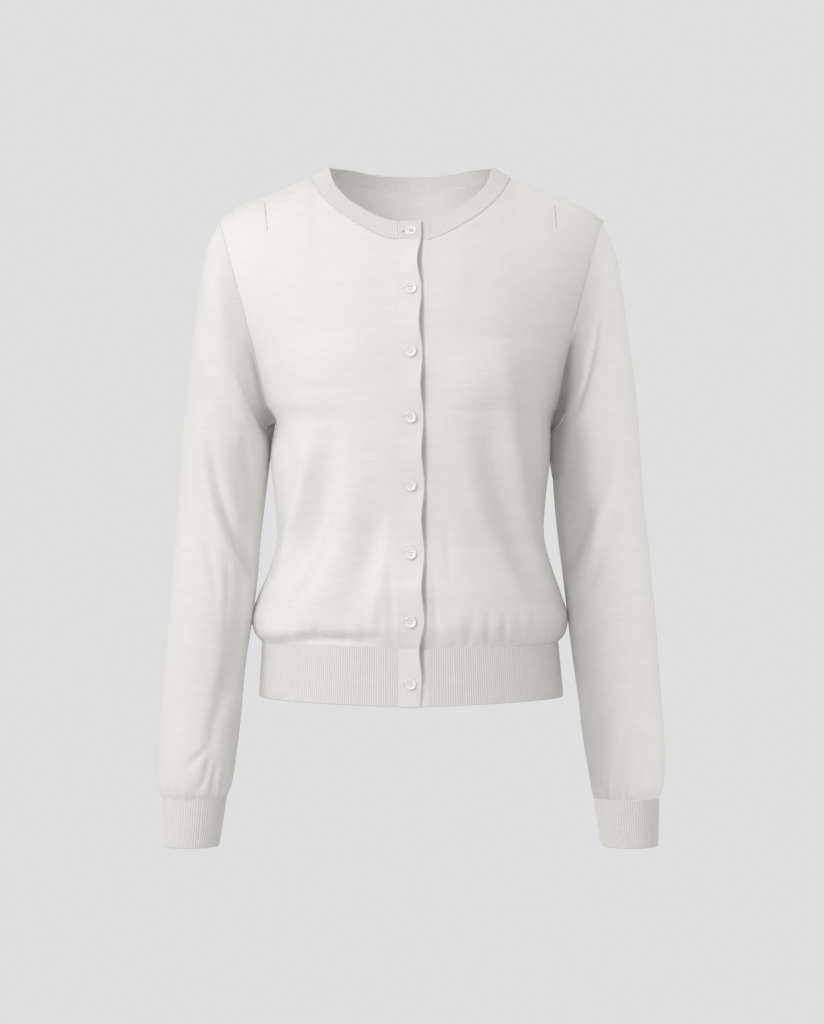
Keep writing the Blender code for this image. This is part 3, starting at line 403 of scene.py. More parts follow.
BUTTON_SIDES = 56
BUTTON_PROFILE = ((0.05, 0.0), (0.80, 0.0), (0.95, 0.00035), (1.0, 0.00090), (0.99, 0.00150),
                  (0.94, 0.00195), (0.87, 0.00210), (0.79, 0.00198), (0.72, 0.00160),
                  (0.64, 0.00135), (0.50, 0.00125), (0.05, 0.00120))
BUTTON_CREASE = 48
BUTTON_SINK = 0.0002
BUTTON_TURNS = (("X", 0.03), ("Z", 0.05), ("Y", 0.30))    # how unevenly they are sewn on
HOLE_SPREAD = 0.00125
HOLE_RADIUS = 0.00058
HOLE_SIDES = 20
THREAD = 0.00017
THREAD_TOP = 0.00140
THREAD_SLOPE = 0.16
THREAD_LENGTH = 0.72
THREAD_APART = 1.5
BEAD_SIDES = 6
BEAD_STEPS = (-1.0, -0.72, 0.0, 0.72, 1.0)
BEAD_SWELL = (0.30, 0.82, 1.0, 0.82, 0.30)

# Colours, and the scales of the yarn's unevenness in features per metre along and up
YARN_LIGHT = (0.872, 0.862, 0.847, 1.0)
YARN_DARK = (0.824, 0.813, 0.796, 1.0)
# painted shade for the valleys of the ribs, mixed into the yarn's colour
PAINTED_RIB_SHADE = (0.600, 0.586, 0.562, 1.0)
SLUB_SCALE = (58.0, 330.0)
SLUB_RANGE = (0.32, 0.68, 0.0, 0.5)    # from these values of the noise to these shares
STREAK_SCALE = (24.0, 120.0)
STREAK_RANGE = (0.35, 0.65, 0.0, 0.3)
CLOUD_SCALE = 11.0
CLOUD_RANGE = (0.35, 0.65, 0.0, 0.2)
SLUB_RELIEF = 1.2
LEG_SLANT = 1.3           # how far a stitch's legs lean, in courses for each wale
STRAND_RELIEF = (0.35, 0.65)
CREST_RANGE = (0.0, 0.75)
KNIT_ROUGHNESS = 0.88
RIB_ROUGHNESS = 0.90
WALE = 0.00120
COURSE = 0.00092
RIBS = {"hem": (HEM_PITCH, 0.70, 0.14), "cuff": (CUFF_PITCH, 0.72, 0.16),
        "neck": (NECK_PITCH, 0.58, 0.30)}    # pitch, and how far the valleys and the crests are mixed towards the painted shade
NECK_SEAM = (-0.0694, -0.0690)
SHEEN = 0.60
RELIEF = (0.45, 0.00025)
PLAIN_CLOUD = 160.0
PLAIN_RANGE = (0.35, 0.65, 0.0, 1.0)
PLAIN_DARKER = 0.93
PLAIN = {  # colour, roughness and coat
    "linking_yarn": ((0.840, 0.828, 0.805, 1.0), 0.9, 0.0),
    # dark stitches whose colour paints the shadow along each dart
    "dart_yarn": ((0.600, 0.582, 0.560, 1.0), 0.9, 0.0),
    "button_thread": ((0.880, 0.872, 0.855, 1.0), 0.7, 0.0),
    "pearl": ((0.945, 0.942, 0.930, 1.0), 0.22, 0.6),
    "slit_shadow": ((0.100, 0.095, 0.090, 1.0), 1.0, 0.0),
    "floor": ((0.74, 0.74, 0.74, 1.0), 0.9, 0.0),
}

# Camera and light
CAMERA_DISTANCE = 3.0
CAMERA_X = 0.0015
CAMERA_HEIGHT = -0.334
VIEW_HEIGHT = 1.024       # how much the picture's height takes in at the garment
SENSOR = 36.0
BACKGROUND = (0.738, 0.738, 0.738, 1.0)
FILL = 0.71               # the even light from all round
FILL_COLOUR = (1.0, 0.990, 0.978, 1.0)
FLOOR_HEIGHT = -1.30
FLOOR_RADIUS = 2.2
FLOOR_SIDES = 64
GARMENT = (0.0, 0.0, CAMERA_HEIGHT)
TRUNK_PIECES = ("front_right", "front_left", "back", "hem_front_right", "hem_front_left",
                "hem_back", "neckband", "band_right", "band_left")
# Place, the point it faces, size, power, the pieces it leaves out or serves alone, and whether
# those are also all that shades it
LIGHTS = {
    "key": ((-1.9, -2.2, 1.3), GARMENT, 1.5, 36.0, "EXCLUDE", ("sleeve_left",), False),
    "sleeve_key": ((2.1, -2.5, -0.4), GARMENT, 1.0, 18.8, "INCLUDE", ("sleeve_left",), False),
    "side": ((-3.0, -0.9, 0.2), GARMENT, 2.2, 5.0, "INCLUDE", TRUNK_PIECES, True),
    "neck_fill": ((0.030, -0.040, -0.078), (0.0, 0.060, -0.074), 0.08, 0.070, None, (), False),
}

# ---------------- curves and tables


def smooth(xs, ys, at):
    """Read a smooth curve through the points (xs, ys), which never overshoots between them."""
    step = np.diff(xs)
    slope = np.diff(ys) / step
    same = slope[1:] * slope[:-1] > 0
    total = slope[1:] + slope[:-1]
    mean = np.where(same, 2 * slope[1:] * slope[:-1] / np.where(same, total, 1.0), 0.0)
    tangent = np.concatenate(([slope[0]], mean, [slope[-1]]))
    at = np.clip(at, xs[0], xs[-1])
    k = np.clip(np.searchsorted(xs, at, side="right") - 1, 0, len(step) - 1)
    h = step[k]
    t = (at - xs[k]) / h
    near = ys[k] * (1 + 2 * t) * (1 - t) ** 2 + h * tangent[k] * t * (1 - t) ** 2
    far = ys[k + 1] * t * t * (3 - 2 * t) + h * tangent[k + 1] * t * t * (t - 1)
    return near + far


def column(source, name, station):
    """Read one column of a table at row numbers that may lie between its rows."""
    values = source[name]
    return smooth(np.arange(len(values), dtype=float), values, np.asarray(station, dtype=float))


def ease(t):
    """Return the soft step from 0 to 1."""
    t = np.clip(t, 0.0, 1.0)
    return t * t * (3 - 2 * t)


def within(z, top, bottom, fade):
    """Return 1 between two heights, with soft ends."""
    return ease((top - z) / fade) * ease((z - bottom) / fade)


def bell(off):
    """Return the bell curve, which is 1 at 0."""
    return np.exp(-off ** 2)


def wave(t):
    """Return the wave that is 0 at whole numbers and 1 halfway between them."""
    return (1 - np.cos(2 * math.pi * t)) / 2


def blend(one, other, share):
    """Return what lies at a share of the way from one to the other."""
    return one * (1 - share) + other * share


def unit(vectors):
    """Return vectors at length 1."""
    return vectors / np.linalg.norm(vectors, axis=-1, keepdims=True)


def run_lengths(points):
    """Return the distance along each row of a grid from its first column."""
    steps = np.linalg.norm(np.diff(points, axis=1), axis=2)
    return np.concatenate((np.zeros((len(points), 1)), np.cumsum(steps, axis=1)), axis=1)


def turned(grid):
    """Return a grid with its rows as columns."""
    return grid.transpose(1, 0, 2)


def closed(grid):
    """Return a tube's grid with its first column again at the end."""
    return np.concatenate((grid, grid[:, :1]), axis=1)


def read_path(at, run, path):
    """Return the points of a path at some distances along it."""
    return np.stack([np.interp(at, run, path[:, k]) for k in range(3)], axis=-1)


def circle(count):
    """Return the angles of evenly spaced points round a circle."""
    return np.linspace(0, 2 * math.pi, count, endpoint=False)


# ---------------- the trunk's form

def half_width(side, station):
    """Return the distance of the trunk's edge from the middle."""
    return column(TRUNK, "right" if side < 0 else "left", station)


def section(side, half, edge_y, edge_z, start, middle_y, middle_z, ratio, swell=0.0):
    """Place the points of a row that are at ratio of its half width, from the middle."""
    start = np.radians(start)
    ratio = np.clip(ratio, 0.0, 1.0)
    angle = np.arccos(ratio ** (1 / CROSS_EXPONENT) * np.cos(start))
    depth = (np.sin(angle) - np.sin(start)) / (1 - np.sin(start))
    y = edge_y + (middle_y - edge_y) * np.maximum(depth, 0.0) ** CROSS_EXPONENT
    climb = 1 - ratio ** 2 / (ratio + CENTRE_ROUND) * (1 + CENTRE_ROUND)
    z = edge_z + (middle_z - edge_z) * climb + swell * ratio ** SWELL_POWER * (1 - ratio)
    return np.stack((half * ratio * side, y, z), axis=-1)


def trunk_point(face, side, station, ratio):
    """Return a point of the trunk's form. Side is -1 or 1, and face is "front" or "back"."""
    swell = SHOULDER_SWELL * ease((station - NECK_MIDDLE + 1) / (SHOULDER - NECK_MIDDLE + 1))
    sizes = [column(TRUNK, name, station)
             for name in (face + "_edge", "edge_z", "start", face, face + "_z")]
    return section(side, half_width(side, station), *sizes, ratio, swell)


def neck_station(face, side, x):
    """Find the row in which the trunk's form meets the neckline at distance x from the middle."""
    goal = smooth(NECKS[face]["x"], NECKS[face]["z"], x)
    low, high = np.full_like(x, NECK_MIDDLE - 1.0), np.full_like(x, float(SHOULDER))
    for _ in range(NECK_SEARCHES):
        middle = (low + high) / 2
        below = trunk_point(face, side, middle, x / half_width(side, middle))[..., 2] < goal
        low, high = np.where(below, middle, low), np.where(below, high, middle)
    return (low + high) / 2


def top_edge(face, side, inner_x, neck_columns):
    """Return the row number and the ratio of each column at the shoulder seam and the neck."""
    shoulder_x = np.linspace(half_width(side, SHOULDER), NECK_HALF, SHOULDER_COLUMNS + 1)
    turn = np.linspace(0.0, 1.0, neck_columns + 1)[1:]
    if face == "front":
        spread = np.maximum(np.cos(turn * math.pi / 2), 0.0) ** FRONT_NECK_CROWDING
    else:
        spread = (1 - turn) ** BACK_NECK_CROWDING
    neck_x = inner_x + (NECK_HALF - inner_x) * spread
    neck_x[-1] = inner_x
    station = np.concatenate((np.full(SHOULDER_COLUMNS + 1, float(SHOULDER)),
                              neck_station(face, side, neck_x)))
    if face == "front":
        station[-1] = NECK_MIDDLE
    return station, np.concatenate((shoulder_x, neck_x)) / half_width(side, station)


def half_panel(face, side, inner_x, neck_columns):
    """Return the grid of a front, or of one half of the back, from its outer edge inwards."""
    turn = np.linspace(0.0, 1.0, SHOULDER_COLUMNS + neck_columns + 1)

    def even(station):
        last = np.arccos((inner_x / half_width(side, station)) ** (1 / CROSS_EXPONENT))
        return np.maximum(np.cos(turn * last), 0.0) ** CROSS_EXPONENT

    rows = [trunk_point(face, side, np.full(len(turn), station), even(station))
            for station in np.linspace(0, UNDERARM, LOWER_ROWS + 1)]
    top_station, top_ratio = top_edge(face, side, inner_x, neck_columns)
    start_ratio = even(UNDERARM)
    for part in np.linspace(0, 1, UPPER_ROWS + 1)[1:]:
        station = UNDERARM + (top_station - UNDERARM) * part
        ratio = start_ratio + (top_ratio - start_ratio) * part
        rows.append(trunk_point(face, side, station, ratio))
    return np.array(rows)


def hem_half(side):
    """Return half the width of the hem rib's open edge."""
    return HEM_EDGE["right" if side < 0 else "left"]


def hem_edge(face, side, ratio):
    """Return points of the hem rib's open edge, at ratio of its half width."""
    return section(side, hem_half(side), 0.0, HEM_EDGE["edge_z"], 0.0, HEM_EDGE[face],
                   HEM_EDGE[face + "_z"], ratio)


def hem_row(face, side, top):
    """Return the open edge below a row, whose inner end keeps its distance from the middle."""
    ratio = np.abs(top[:, 0]) / half_width(side, 0.0)
    inner = np.abs(top[-1, 0]) / hem_half(side)
    return hem_edge(face, side, ratio + (inner - ratio[-1]) * (1 - ratio) / (1 - ratio[-1]))


def behind_lap(points):
    """Move what is left of the middle, at the front, behind the buttonhole band."""
    moved = points.copy()
    moved[..., 1] += LAP * ease((LAP_BLEND - points[..., 0]) / (LAP_BLEND - BAND_LEFT_SEAM))
    return moved


# ---------------- the sleeves' form

def chord_frame(ring):
    """Return the middle, half length, direction and normal of a ring's chord, from the front."""
    outer = np.array((ring["outer_x"], ring["outer_z"]))
    inner = np.array((ring["inner_x"], ring["inner_z"]))
    half = np.linalg.norm(outer - inner) / 2
    along = (outer - inner) / (2 * half)
    return (outer + inner) / 2, half, along, np.array((along[1], -along[0]))


def loop_shape(points, ring, side):
    """Return an armhole's points as shares of its first ring: along its chord, ahead and out."""
    middle, half, along, across = chord_frame(ring)
    flat = np.stack((side * points[:, 0], points[:, 2]), axis=-1) - middle
    return np.stack((flat @ along / half, -points[:, 1] / ring["depth"], flat @ across), axis=-1)


def sleeve_ring(ring, oval, shape, side):
    """Return one ring of a sleeve, between the armhole's own shape (oval 0) and an oval (1)."""
    middle, half, along, across = chord_frame(ring)
    turn = circle(len(shape))
    lengthwise = blend(shape[:, 0], np.cos(turn), oval)
    forward = blend(shape[:, 1], np.sin(turn), oval)
    flat = middle + np.outer(lengthwise * half, along) + np.outer(shape[:, 2] * (1 - oval), across)
    y = ring["centre_y"] - ring["depth"] * forward
    return np.stack((side * flat[:, 0], y, flat[:, 1]), axis=-1)


def sleeve_grid(name, front, back, side):
    """Return a sleeve's grid, one row for each ring, and its cuff's grid of two rows."""
    rings = {key.replace("_" + name, "_x"): values for key, values in SLEEVES.items()}
    points = np.concatenate((front[LOWER_ROWS:, 0][::-1], back[LOWER_ROWS:, 0][1:-1]))
    shape = loop_shape(points, {key: values[0] for key, values in rings.items()}, side)
    rows = [points]
    for station in np.linspace(0, len(rings["depth"]) - 1, SLEEVE_ROWS + 1)[1:]:
        ring = {key: column(rings, key, station) for key in rings}
        rows.append(sleeve_ring(ring, ease(station / CAP_RINGS), shape, side))
    cuff = np.array((rows[-1], sleeve_ring(CUFF_EDGE, 1.0, shape, side)))
    return np.array(rows), cuff


# ---------------- bands and neckband

def button_span(z):
    """Return the button above a height, the one below it, and the share of the way to it."""
    z = np.asarray(z, dtype=float)
    heights = BUTTONS["z"]
    k = np.clip(np.searchsorted(-heights, -z, side="right") - 1, 0, len(heights) - 1)
    following = np.minimum(k + 1, len(heights) - 1)
    span = np.where(following > k, heights[k] - heights[following], LAST_SPAN)
    return k, following, np.clip((heights[k] - z) / span, 0, 1)


def free_edge(z):
    """Return where the free edge of the top band lies at a height."""
    k, following, t = button_span(z)
    beside = blend(BUTTONS["edge_beside"][k], BUTTONS["edge_beside"][following], t)
    return beside + (BUTTONS["edge_below"][k] - beside) * wave(t)


def band_row(name, z):
    """Return the distances from the middle of a band's columns at a height."""
    ends = (BAND_LEFT_FREE, BAND_LEFT_SEAM)
    if name == "band_right":
        ends = (BAND_RIGHT_SEAM, float(free_edge(z)))
    return np.linspace(*ends, BAND_COLUMNS)


def placket_row(x, station):
    """Return points across the middle of the front at signed distances x, in one trunk row."""
    out = np.empty((len(x), 3))
    for side in (-1, 1):
        chosen = (x < 0) if side < 0 else (x >= 0)
        ratio = np.abs(x[chosen]) / half_width(side, station)
        out[chosen] = trunk_point("front", side, np.full(len(ratio), station), ratio)
    return out


def neckband_top(seam, around):
    """Return the neckband's upper edge over a run of seam points, around from 0 to 1."""
    across, ahead = seam[:, 0] * NECK_CENTRE_X, seam[:, 1] - NECK_CENTRE_Y
    radial = unit(np.stack((across, ahead, np.zeros(len(seam))), axis=-1))
    inward, rise = (smooth(NECKBAND["around"], NECKBAND[name], around)
                    for name in ("inward", "rise"))
    return seam - radial * inward[:, None] + np.array((0, 0, 1)) * rise[:, None]


def band_grid(name):
    """Return a band's grid, from the hem's edge up to the neck's edge."""
    sides = [-1 if x < 0 else 1 for x in band_row(name, HEM_EDGE["front_z"])]
    rows = [np.array([hem_edge("front", side, np.array([abs(x) / hem_half(side)]))[0]
                      for side, x in zip(sides, band_row(name, HEM_EDGE["front_z"]))])]
    stations = np.concatenate((np.linspace(0, UNDERARM, LOWER_ROWS + 1),
                               np.linspace(UNDERARM, NECK_MIDDLE, UPPER_ROWS + 1)[1:]))
    for station in stations:
        height = trunk_point("front", -1, np.array([station]), np.array([0.0]))[0, 2]
        rows.append(placket_row(band_row(name, height), station))
    neck = neckband_top(rows[-1], np.zeros(BAND_COLUMNS))
    neck[:, 0] = band_row(name, neck[0, 2])
    return np.array(rows + [neck])


# ---------------- a piece of cloth

class Cloth:
    """One cut piece: a grid of outer points, its normals, and its place in the knit in metres."""

    def __init__(self, name, grid, uv, ring=False, flip=False):
        self.name = name
        self.rows, self.columns = grid.shape[:2]
        self.ring = ring
        self.flip = flip
        self.points = grid.reshape(-1, 3).copy()
        self.uv = uv
        self.sewn = np.zeros(len(self.points), dtype=bool)
        self.quads = grid_quads(self.rows, self.columns, ring, flip)
        self.cut = cut_size(closed(grid) if ring else grid)
        self.refresh()

    def grid(self):
        """Return the points by row and column."""
        return self.points.reshape(self.rows, self.columns, 3)

    def lean(self):
        """Return the normals by row and column."""
        return self.normals.reshape(self.rows, self.columns, 3)

    def remade(self, grid, lean, sewn, uv):
        """Return the piece on a finer grid."""
        fine = Cloth(self.name, grid, uv, self.ring, self.flip)
        fine.normals, fine.sewn, fine.cut = lean.reshape(-1, 3), sewn.reshape(-1), self.cut
        return fine

    def refresh(self):
        """Work the normals out again after the points have moved."""
        corner = self.points[self.quads]
        normal = np.cross(corner[:, 2] - corner[:, 0], corner[:, 3] - corner[:, 1])
        total = np.zeros_like(self.points)
        for k in range(4):
            np.add.at(total, self.quads[:, k], normal)
        self.normals = unit(total)

    def edge_distance(self):
        """Return each point's distance from the nearest edge of the grid, along the grid."""
        down = run_lengths(turned(self.grid())).T
        distance = np.minimum(down, down[-1] - down)
        if not self.ring:
            over = run_lengths(self.grid())
            distance = np.minimum(distance, np.minimum(over, over[:, -1:] - over))
        return distance.reshape(-1)

    def fold(self, folds, facing, margin, straight=False):
        """Raise the ridges and sink the troughs of a table on one face, or press them in Y."""
        facing_share = self.normals[:, 1] * facing
        if straight:
            facing_share = (facing_share + CLEFT_FACING) * CLEFT_FACING_RATE
        else:
            facing_share = facing_share * FACING_RATE
        share = ease(self.edge_distance() / margin) * ease(facing_share)
        near = np.flatnonzero(share > 0)
        place = self.points[near]
        height = np.zeros(len(near))
        t = np.linspace(0, 1, FOLD_SAMPLES)
        for *path, rise, width in np.array(folds) / UNITS:
            x, z = (a * (1 - t) ** 2 + 2 * b * t * (1 - t) + c * t * t
                    for a, b, c in (path[::2], path[1::2]))
            gap = np.hypot(place[:, 0, None] - x, place[:, 2, None] - z)
            nearest = gap.argmin(axis=1)
            fade = np.sin(math.pi * (FADE_START + (FADE_END - FADE_START) * t[nearest]))
            height += rise * fade * bell(gap.min(axis=1) / width)
        height *= share[near]
        if straight:
            push = facing * height
            room = np.maximum(self.far_wall()[near] - CLEFT_WALL - place[:, 1], LEAST_ROOM)
            deep = room * (1.0 - np.exp(-np.maximum(push, 0.0) / room))
            self.points[near, 1] += np.minimum(push, 0.0) + deep
        else:
            self.points[near] += self.normals[near] * height[:, None]

    def far_wall(self):
        """Return how far back the wall behind each point of a ring grid lies."""
        limit = np.empty((self.rows, self.columns))
        for number, (ring, lean) in enumerate(zip(self.grid(), self.lean())):
            wall = ring[(lean[:, 1] > 0) & (ring[:, 1] > ring[:, 1].mean())]
            wall = wall[wall[:, 0].argsort()]
            limit[number] = np.interp(ring[:, 0], wall[:, 0], wall[:, 1])
        return limit.reshape(-1)


def grid_quads(rows, columns, ring, flip):
    """Return the quads of a grid, facing out."""
    j, i = np.meshgrid(np.arange(rows - 1), np.arange(columns if ring else columns - 1),
                       indexing="ij")
    k = (i + 1) % columns
    quads = np.stack((j * columns + i, j * columns + k, (j + 1) * columns + k,
                      (j + 1) * columns + i), axis=-1).reshape(-1, 4)
    return quads[:, ::-1] if flip else quads


def cut_size(rows):
    """Return the widest row, the longest column and the area of a grid."""
    one, other = rows[1:, 1:] - rows[:-1, :-1], rows[1:, :-1] - rows[:-1, 1:]
    area = np.linalg.norm(np.cross(one, other), axis=2).sum() / 2
    return run_lengths(rows)[:, -1].max(), run_lengths(turned(rows))[:, -1].max(), area


def inward_pull(cloth):
    """Return the unit direction from each point towards the middle of its faces."""
    middle = cloth.points[cloth.quads].mean(axis=1)
    total = np.zeros_like(cloth.points)
    count = np.zeros(len(cloth.points))
    for k in range(4):
        np.add.at(total, cloth.quads[:, k], middle)
        np.add.at(count, cloth.quads[:, k], 1)
    pull = total / count[:, None] - cloth.points
    return pull / np.maximum(np.linalg.norm(pull, axis=1, keepdims=True), 1e-9)


def edge_points(cloth):
    """Return the numbers of the points on a grid's edges."""
    number = np.arange(len(cloth.points)).reshape(cloth.rows, cloth.columns)
    edges = [number[0], number[-1]]
    if not cloth.ring:
        edges += [number[:, 0], number[:, -1]]
    return np.unique(np.concatenate(edges))


def sew(pieces):
    """Part the points that pieces share along their seams, and let both sides lean alike."""
    meeting = {}
    for cloth in pieces:
        cloth.refresh()
        cloth.pull = inward_pull(cloth)
        for index in edge_points(cloth):
            key = tuple(np.round(cloth.points[index] * MEETING).astype(int))
            meeting.setdefault(key, []).append((cloth, index))
    for members in meeting.values():
        if len(members) < 2:
            continue
        normals = [cloth.normals[index].copy() for cloth, index in members]
        pulls = [cloth.pull[index].copy() for cloth, index in members]
        for k, (cloth, index) in enumerate(members):
            others = [j for j in range(len(members)) if j != k]
            lean = normals[k].copy()
            for j in others:
                hollow = float(normals[j] @ pulls[k])
                lean += normals[j] * (1 - min(max(hollow / HOLLOW_LIMIT, 0.0), 1.0))
            apart = pulls[k] - sum(pulls[j] for j in others) / len(others)
            cloth.normals[index] = lean / np.linalg.norm(lean)
            cloth.points[index] += apart / np.linalg.norm(apart) * TIGHT_GAP / 2
            cloth.sewn[index] = True


# ---------------- places in the knit

def panel_uv(grid, side):
    """Return a panel's place in the knit: signed distance from its inner edge, and height."""
    along = run_lengths(grid[:, ::-1])[:, ::-1]
    up = run_lengths(turned(grid)).T
    level = np.broadcast_to(up.mean(axis=1, keepdims=True), up.shape)
    return np.stack((side * along, UV_LEVEL * level + (1 - UV_LEVEL) * up), axis=-1)


def tube_uv(grid):
    """Return a tube's place in the knit, with one more column than its grid to close it."""
    around = run_lengths(closed(grid))
    around = around / around[:, -1:] * around[:, -1].mean()
    along = run_lengths(turned(closed(grid))).T.mean(axis=1, keepdims=True)
    return np.stack((around, -np.broadcast_to(along, around.shape)), axis=-1)


# ---------------- creases

def gathers(u, v, seed, spacing=1.0, size=1.0):
    """Return the height of short gathers that start at v = 0 and die out, uneven along u."""
    random = np.random.default_rng(seed)
    height = np.zeros_like(u)
    spacing = GATHER_SPACING * spacing
    ridge_rise, ridge_place, ridge_width = GATHER_RIDGE
    for centre in np.arange(u.min(), u.max(), spacing):
        place = centre + random.uniform(-GATHER_SHIFT, GATHER_SHIFT) * spacing
        reach = GATHER_LENGTH * size * random.uniform(*GATHER_REACHES)
        rise = GATHER_RISE * size * random.uniform(*GATHER_SIZES)
        lean = random.uniform(-GATHER_LEAN, GATHER_LEAN)
        across = (u - place - lean * v) / (GATHER_WIDTH * size * random.uniform(*GATHER_WIDTHS))
        fade = ease(v / GATHER_START) * bell(v / reach)
        height -= rise * fade * bell(across)
        height += ridge_rise * rise * fade * bell((across - ridge_place) / ridge_width)
    return height


def undulation(u, v, seed):
    """Return soft, uneven waves over a piece of cloth."""
    random = np.random.default_rng(seed)
    height = np.zeros_like(u)
    for _ in range(WAVES):
        across = random.uniform(-WAVE_ACROSS, WAVE_ACROSS)
        up = random.uniform(-WAVE_UP, WAVE_UP)
        height += np.sin(across * u + up * v + random.uniform(0, 2 * math.pi))
    return UNDULATION * height / math.sqrt(WAVES)


def crease(cloth, seed):
    """Give a piece its folds, its fine creases, its gathers and its unevenness."""
    faces = {cloth.name: 1 if cloth.name == "back" else -1,
             cloth.name + "_front": -1, cloth.name + "_back": 1}
    for tables, margin in LAYERS:
        for name, facing in faces.items():
            if name in tables:
                cloth.fold(tables[name], facing, margin, straight=tables is CLEFTS)
        cloth.refresh()
    u, v = cloth.uv[:, :cloth.columns, 0], cloth.uv[:, :cloth.columns, 1]
    up = v - v.min()
    waves = undulation(u, v, seed) * ease(cloth.edge_distance().reshape(u.shape) / WAVE_MARGIN)
    side = 1.0
    if not cloth.ring:
        over = run_lengths(cloth.grid())
        side = ease(np.minimum(over, over[:, -1:] - over) / SIDE_MARGIN)
    small = gathers(u, up, 10 + seed) * side
    fine = gathers(u, up, 20 + seed, *FINE_GATHERS) * side
    cloth.points += cloth.normals * (waves + small + fine).reshape(-1, 1)
    cloth.refresh()


def round_head(sleeve):
    """Round off the corner that the end of the shoulder seam would leave down a sleeve."""
    grid = sleeve.grid()
    away = abs(np.arange(sleeve.columns) - grid[0, :, 2].argmax())
    away = np.minimum(away, sleeve.columns - away)
    row = np.arange(sleeve.rows)
    share = np.outer(ease(row / HEAD_START) * ease((HEAD_ROWS - row) / HEAD_END),
                     bell(away / HEAD_COLUMNS))
    for _ in range(HEAD_ROUNDS):
        middle = (np.roll(grid, 1, axis=1) + np.roll(grid, -1, axis=1)) / 2
        grid += share[..., None] * (middle - grid) / 2
    sleeve.refresh()


def turn_back(sleeve):
    """Set the inner side of a sleeve back behind the side of the trunk."""
    grid = sleeve.grid()
    wide = abs(grid[..., 0])
    low, high = wide.min(axis=1, keepdims=True), wide.max(axis=1, keepdims=True)
    inward = np.maximum(1 - 2 * (wide - low) / (high - low), 0.0) ** TURN_POWER
    share = (within(grid[..., 2], *TURN_SPAN) *
             ease(np.arange(sleeve.rows) / TURN_ROWS)[:, None])
    grid[..., 1] += TURNS[sleeve.name] * share * inward
    sleeve.refresh()


def tuck_sleeve(sleeve, trunk):
    """Lay the middle of a sleeve's inner side against the trunk below the underarm."""
    side = 1.0 if sleeve.name.endswith("left") else -1.0
    x, y, z = side * sleeve.points[:, 0], sleeve.points[:, 1], sleeve.points[:, 2]
    share = within(z, *TUCK_SPAN) * bell((y - TUCK_MIDDLE) / TUCK_WIDTH)
    form = trunk.points[side * trunk.points[:, 0] > TUCK_FORM]
    for index in np.flatnonzero((share > TUCK_LEAST) & (x < TUCK_REACH)):
        gap = (form[:, 1] - y[index]) ** 2 + (form[:, 2] - z[index]) ** 2
        goal = side * form[gap.argmin(), 0] + TUCK_CLEAR
        sleeve.points[index, 0] -= side * max(x[index] - goal, 0.0) * share[index]
    sleeve.refresh()


# ---------------- ribs and bands

def rib_grid(cloth, pitch, height, seed, faded_row):
    """Return a ribbed piece made from a piece of two rows."""
    random = np.random.default_rng(seed)
    sewn = cloth.sewn.reshape(2, cloth.columns)
    ends = [np.concatenate((row, row[:1])) if cloth.ring else row
            for row in (*cloth.grid(), *cloth.lean())]
    run = run_lengths(ends[0][None])[0]
    ribs = max(1, round(run[-1] / pitch))
    place = np.linspace(0, ribs, ribs * RIB_STEPS + 1)
    wander = np.interp(place, np.arange(ribs + 1),
                       random.uniform(-RIB_WANDER, RIB_WANDER, ribs + 1))
    wander[0] = wander[-1] = 0.0
    at = np.interp((place + wander) / ribs * run[-1], run, np.arange(len(run)))
    low = np.clip(at.astype(int), 0, len(run) - 2)
    share = (at - low)[:, None]
    top, bottom, top_lean, bottom_lean = (blend(row[low], row[low + 1], share) for row in ends)
    down = np.linspace(0, 1, RIB_ROWS + 1)[:, None, None]
    lean = unit(blend(top_lean, bottom_lean, down))
    size = np.interp(place, np.arange(ribs + 1), random.uniform(*RIB_SIZES, ribs + 1))
    crest = np.sin(math.pi * (place % 1.0)) ** RIB_CREST * size
    fade = np.ones(RIB_ROWS + 1)
    fade[faded_row] = RIB_TURN
    points = blend(top, bottom, down) + lean * (height * crest[None, :, None] *
                                                fade[:, None, None])
    length = np.linalg.norm(ends[0][0] - ends[1][0])
    uv = np.stack(np.broadcast_arrays(place[None, :] * pitch, -down[:, :, 0] * length), axis=-1)
    if cloth.ring:
        points, lean = points[:, :-1], lean[:, :-1]
    marks = np.zeros(points.shape[:2], dtype=bool)
    marks[0], marks[-1] = sewn[0].mean() > 0.5, sewn[1].mean() > 0.5
    if not cloth.ring:
        marks[:, 0], marks[:, -1] = sewn[:, 0].any(), sewn[:, -1].any()
    return cloth.remade(points, lean, marks, uv)


def refine_band(cloth):
    """Add rows between the last two rows at each end of a sewn band, which lie far apart."""
    low, high = BAND_HEM_ROWS, BAND_NECK_ROWS
    sewn = cloth.sewn.reshape(cloth.rows, cloth.columns)

    def between(one, other, count):
        return blend(one, other, np.linspace(0, 1, count + 1)[1:-1, None, None])

    points, lean, places = (
        np.concatenate((array[:1], between(array[0], array[1], low), array[1:-1],
                        between(array[-2], array[-1], high), array[-1:]))
        for array in (cloth.grid(), cloth.lean(), cloth.uv))
    marks = np.concatenate((sewn[:1], np.repeat(sewn[1:2], low - 1, axis=0), sewn[1:-1],
                            np.repeat(sewn[-2:-1], high - 1, axis=0), sewn[-1:]))
    seam = 0 if sewn[2, 0] else -1
    for row in (*range(1, low), *range(len(points) - high, len(points) - 1)):
        spread = band_row(cloth.name, points[row, :, 2].mean())
        points[row, :, 0] = spread + points[row, seam, 0] - spread[seam]
        marks[row, :] = False
        marks[row, seam] = True
    return cloth.remade(points, unit(lean), marks, places)


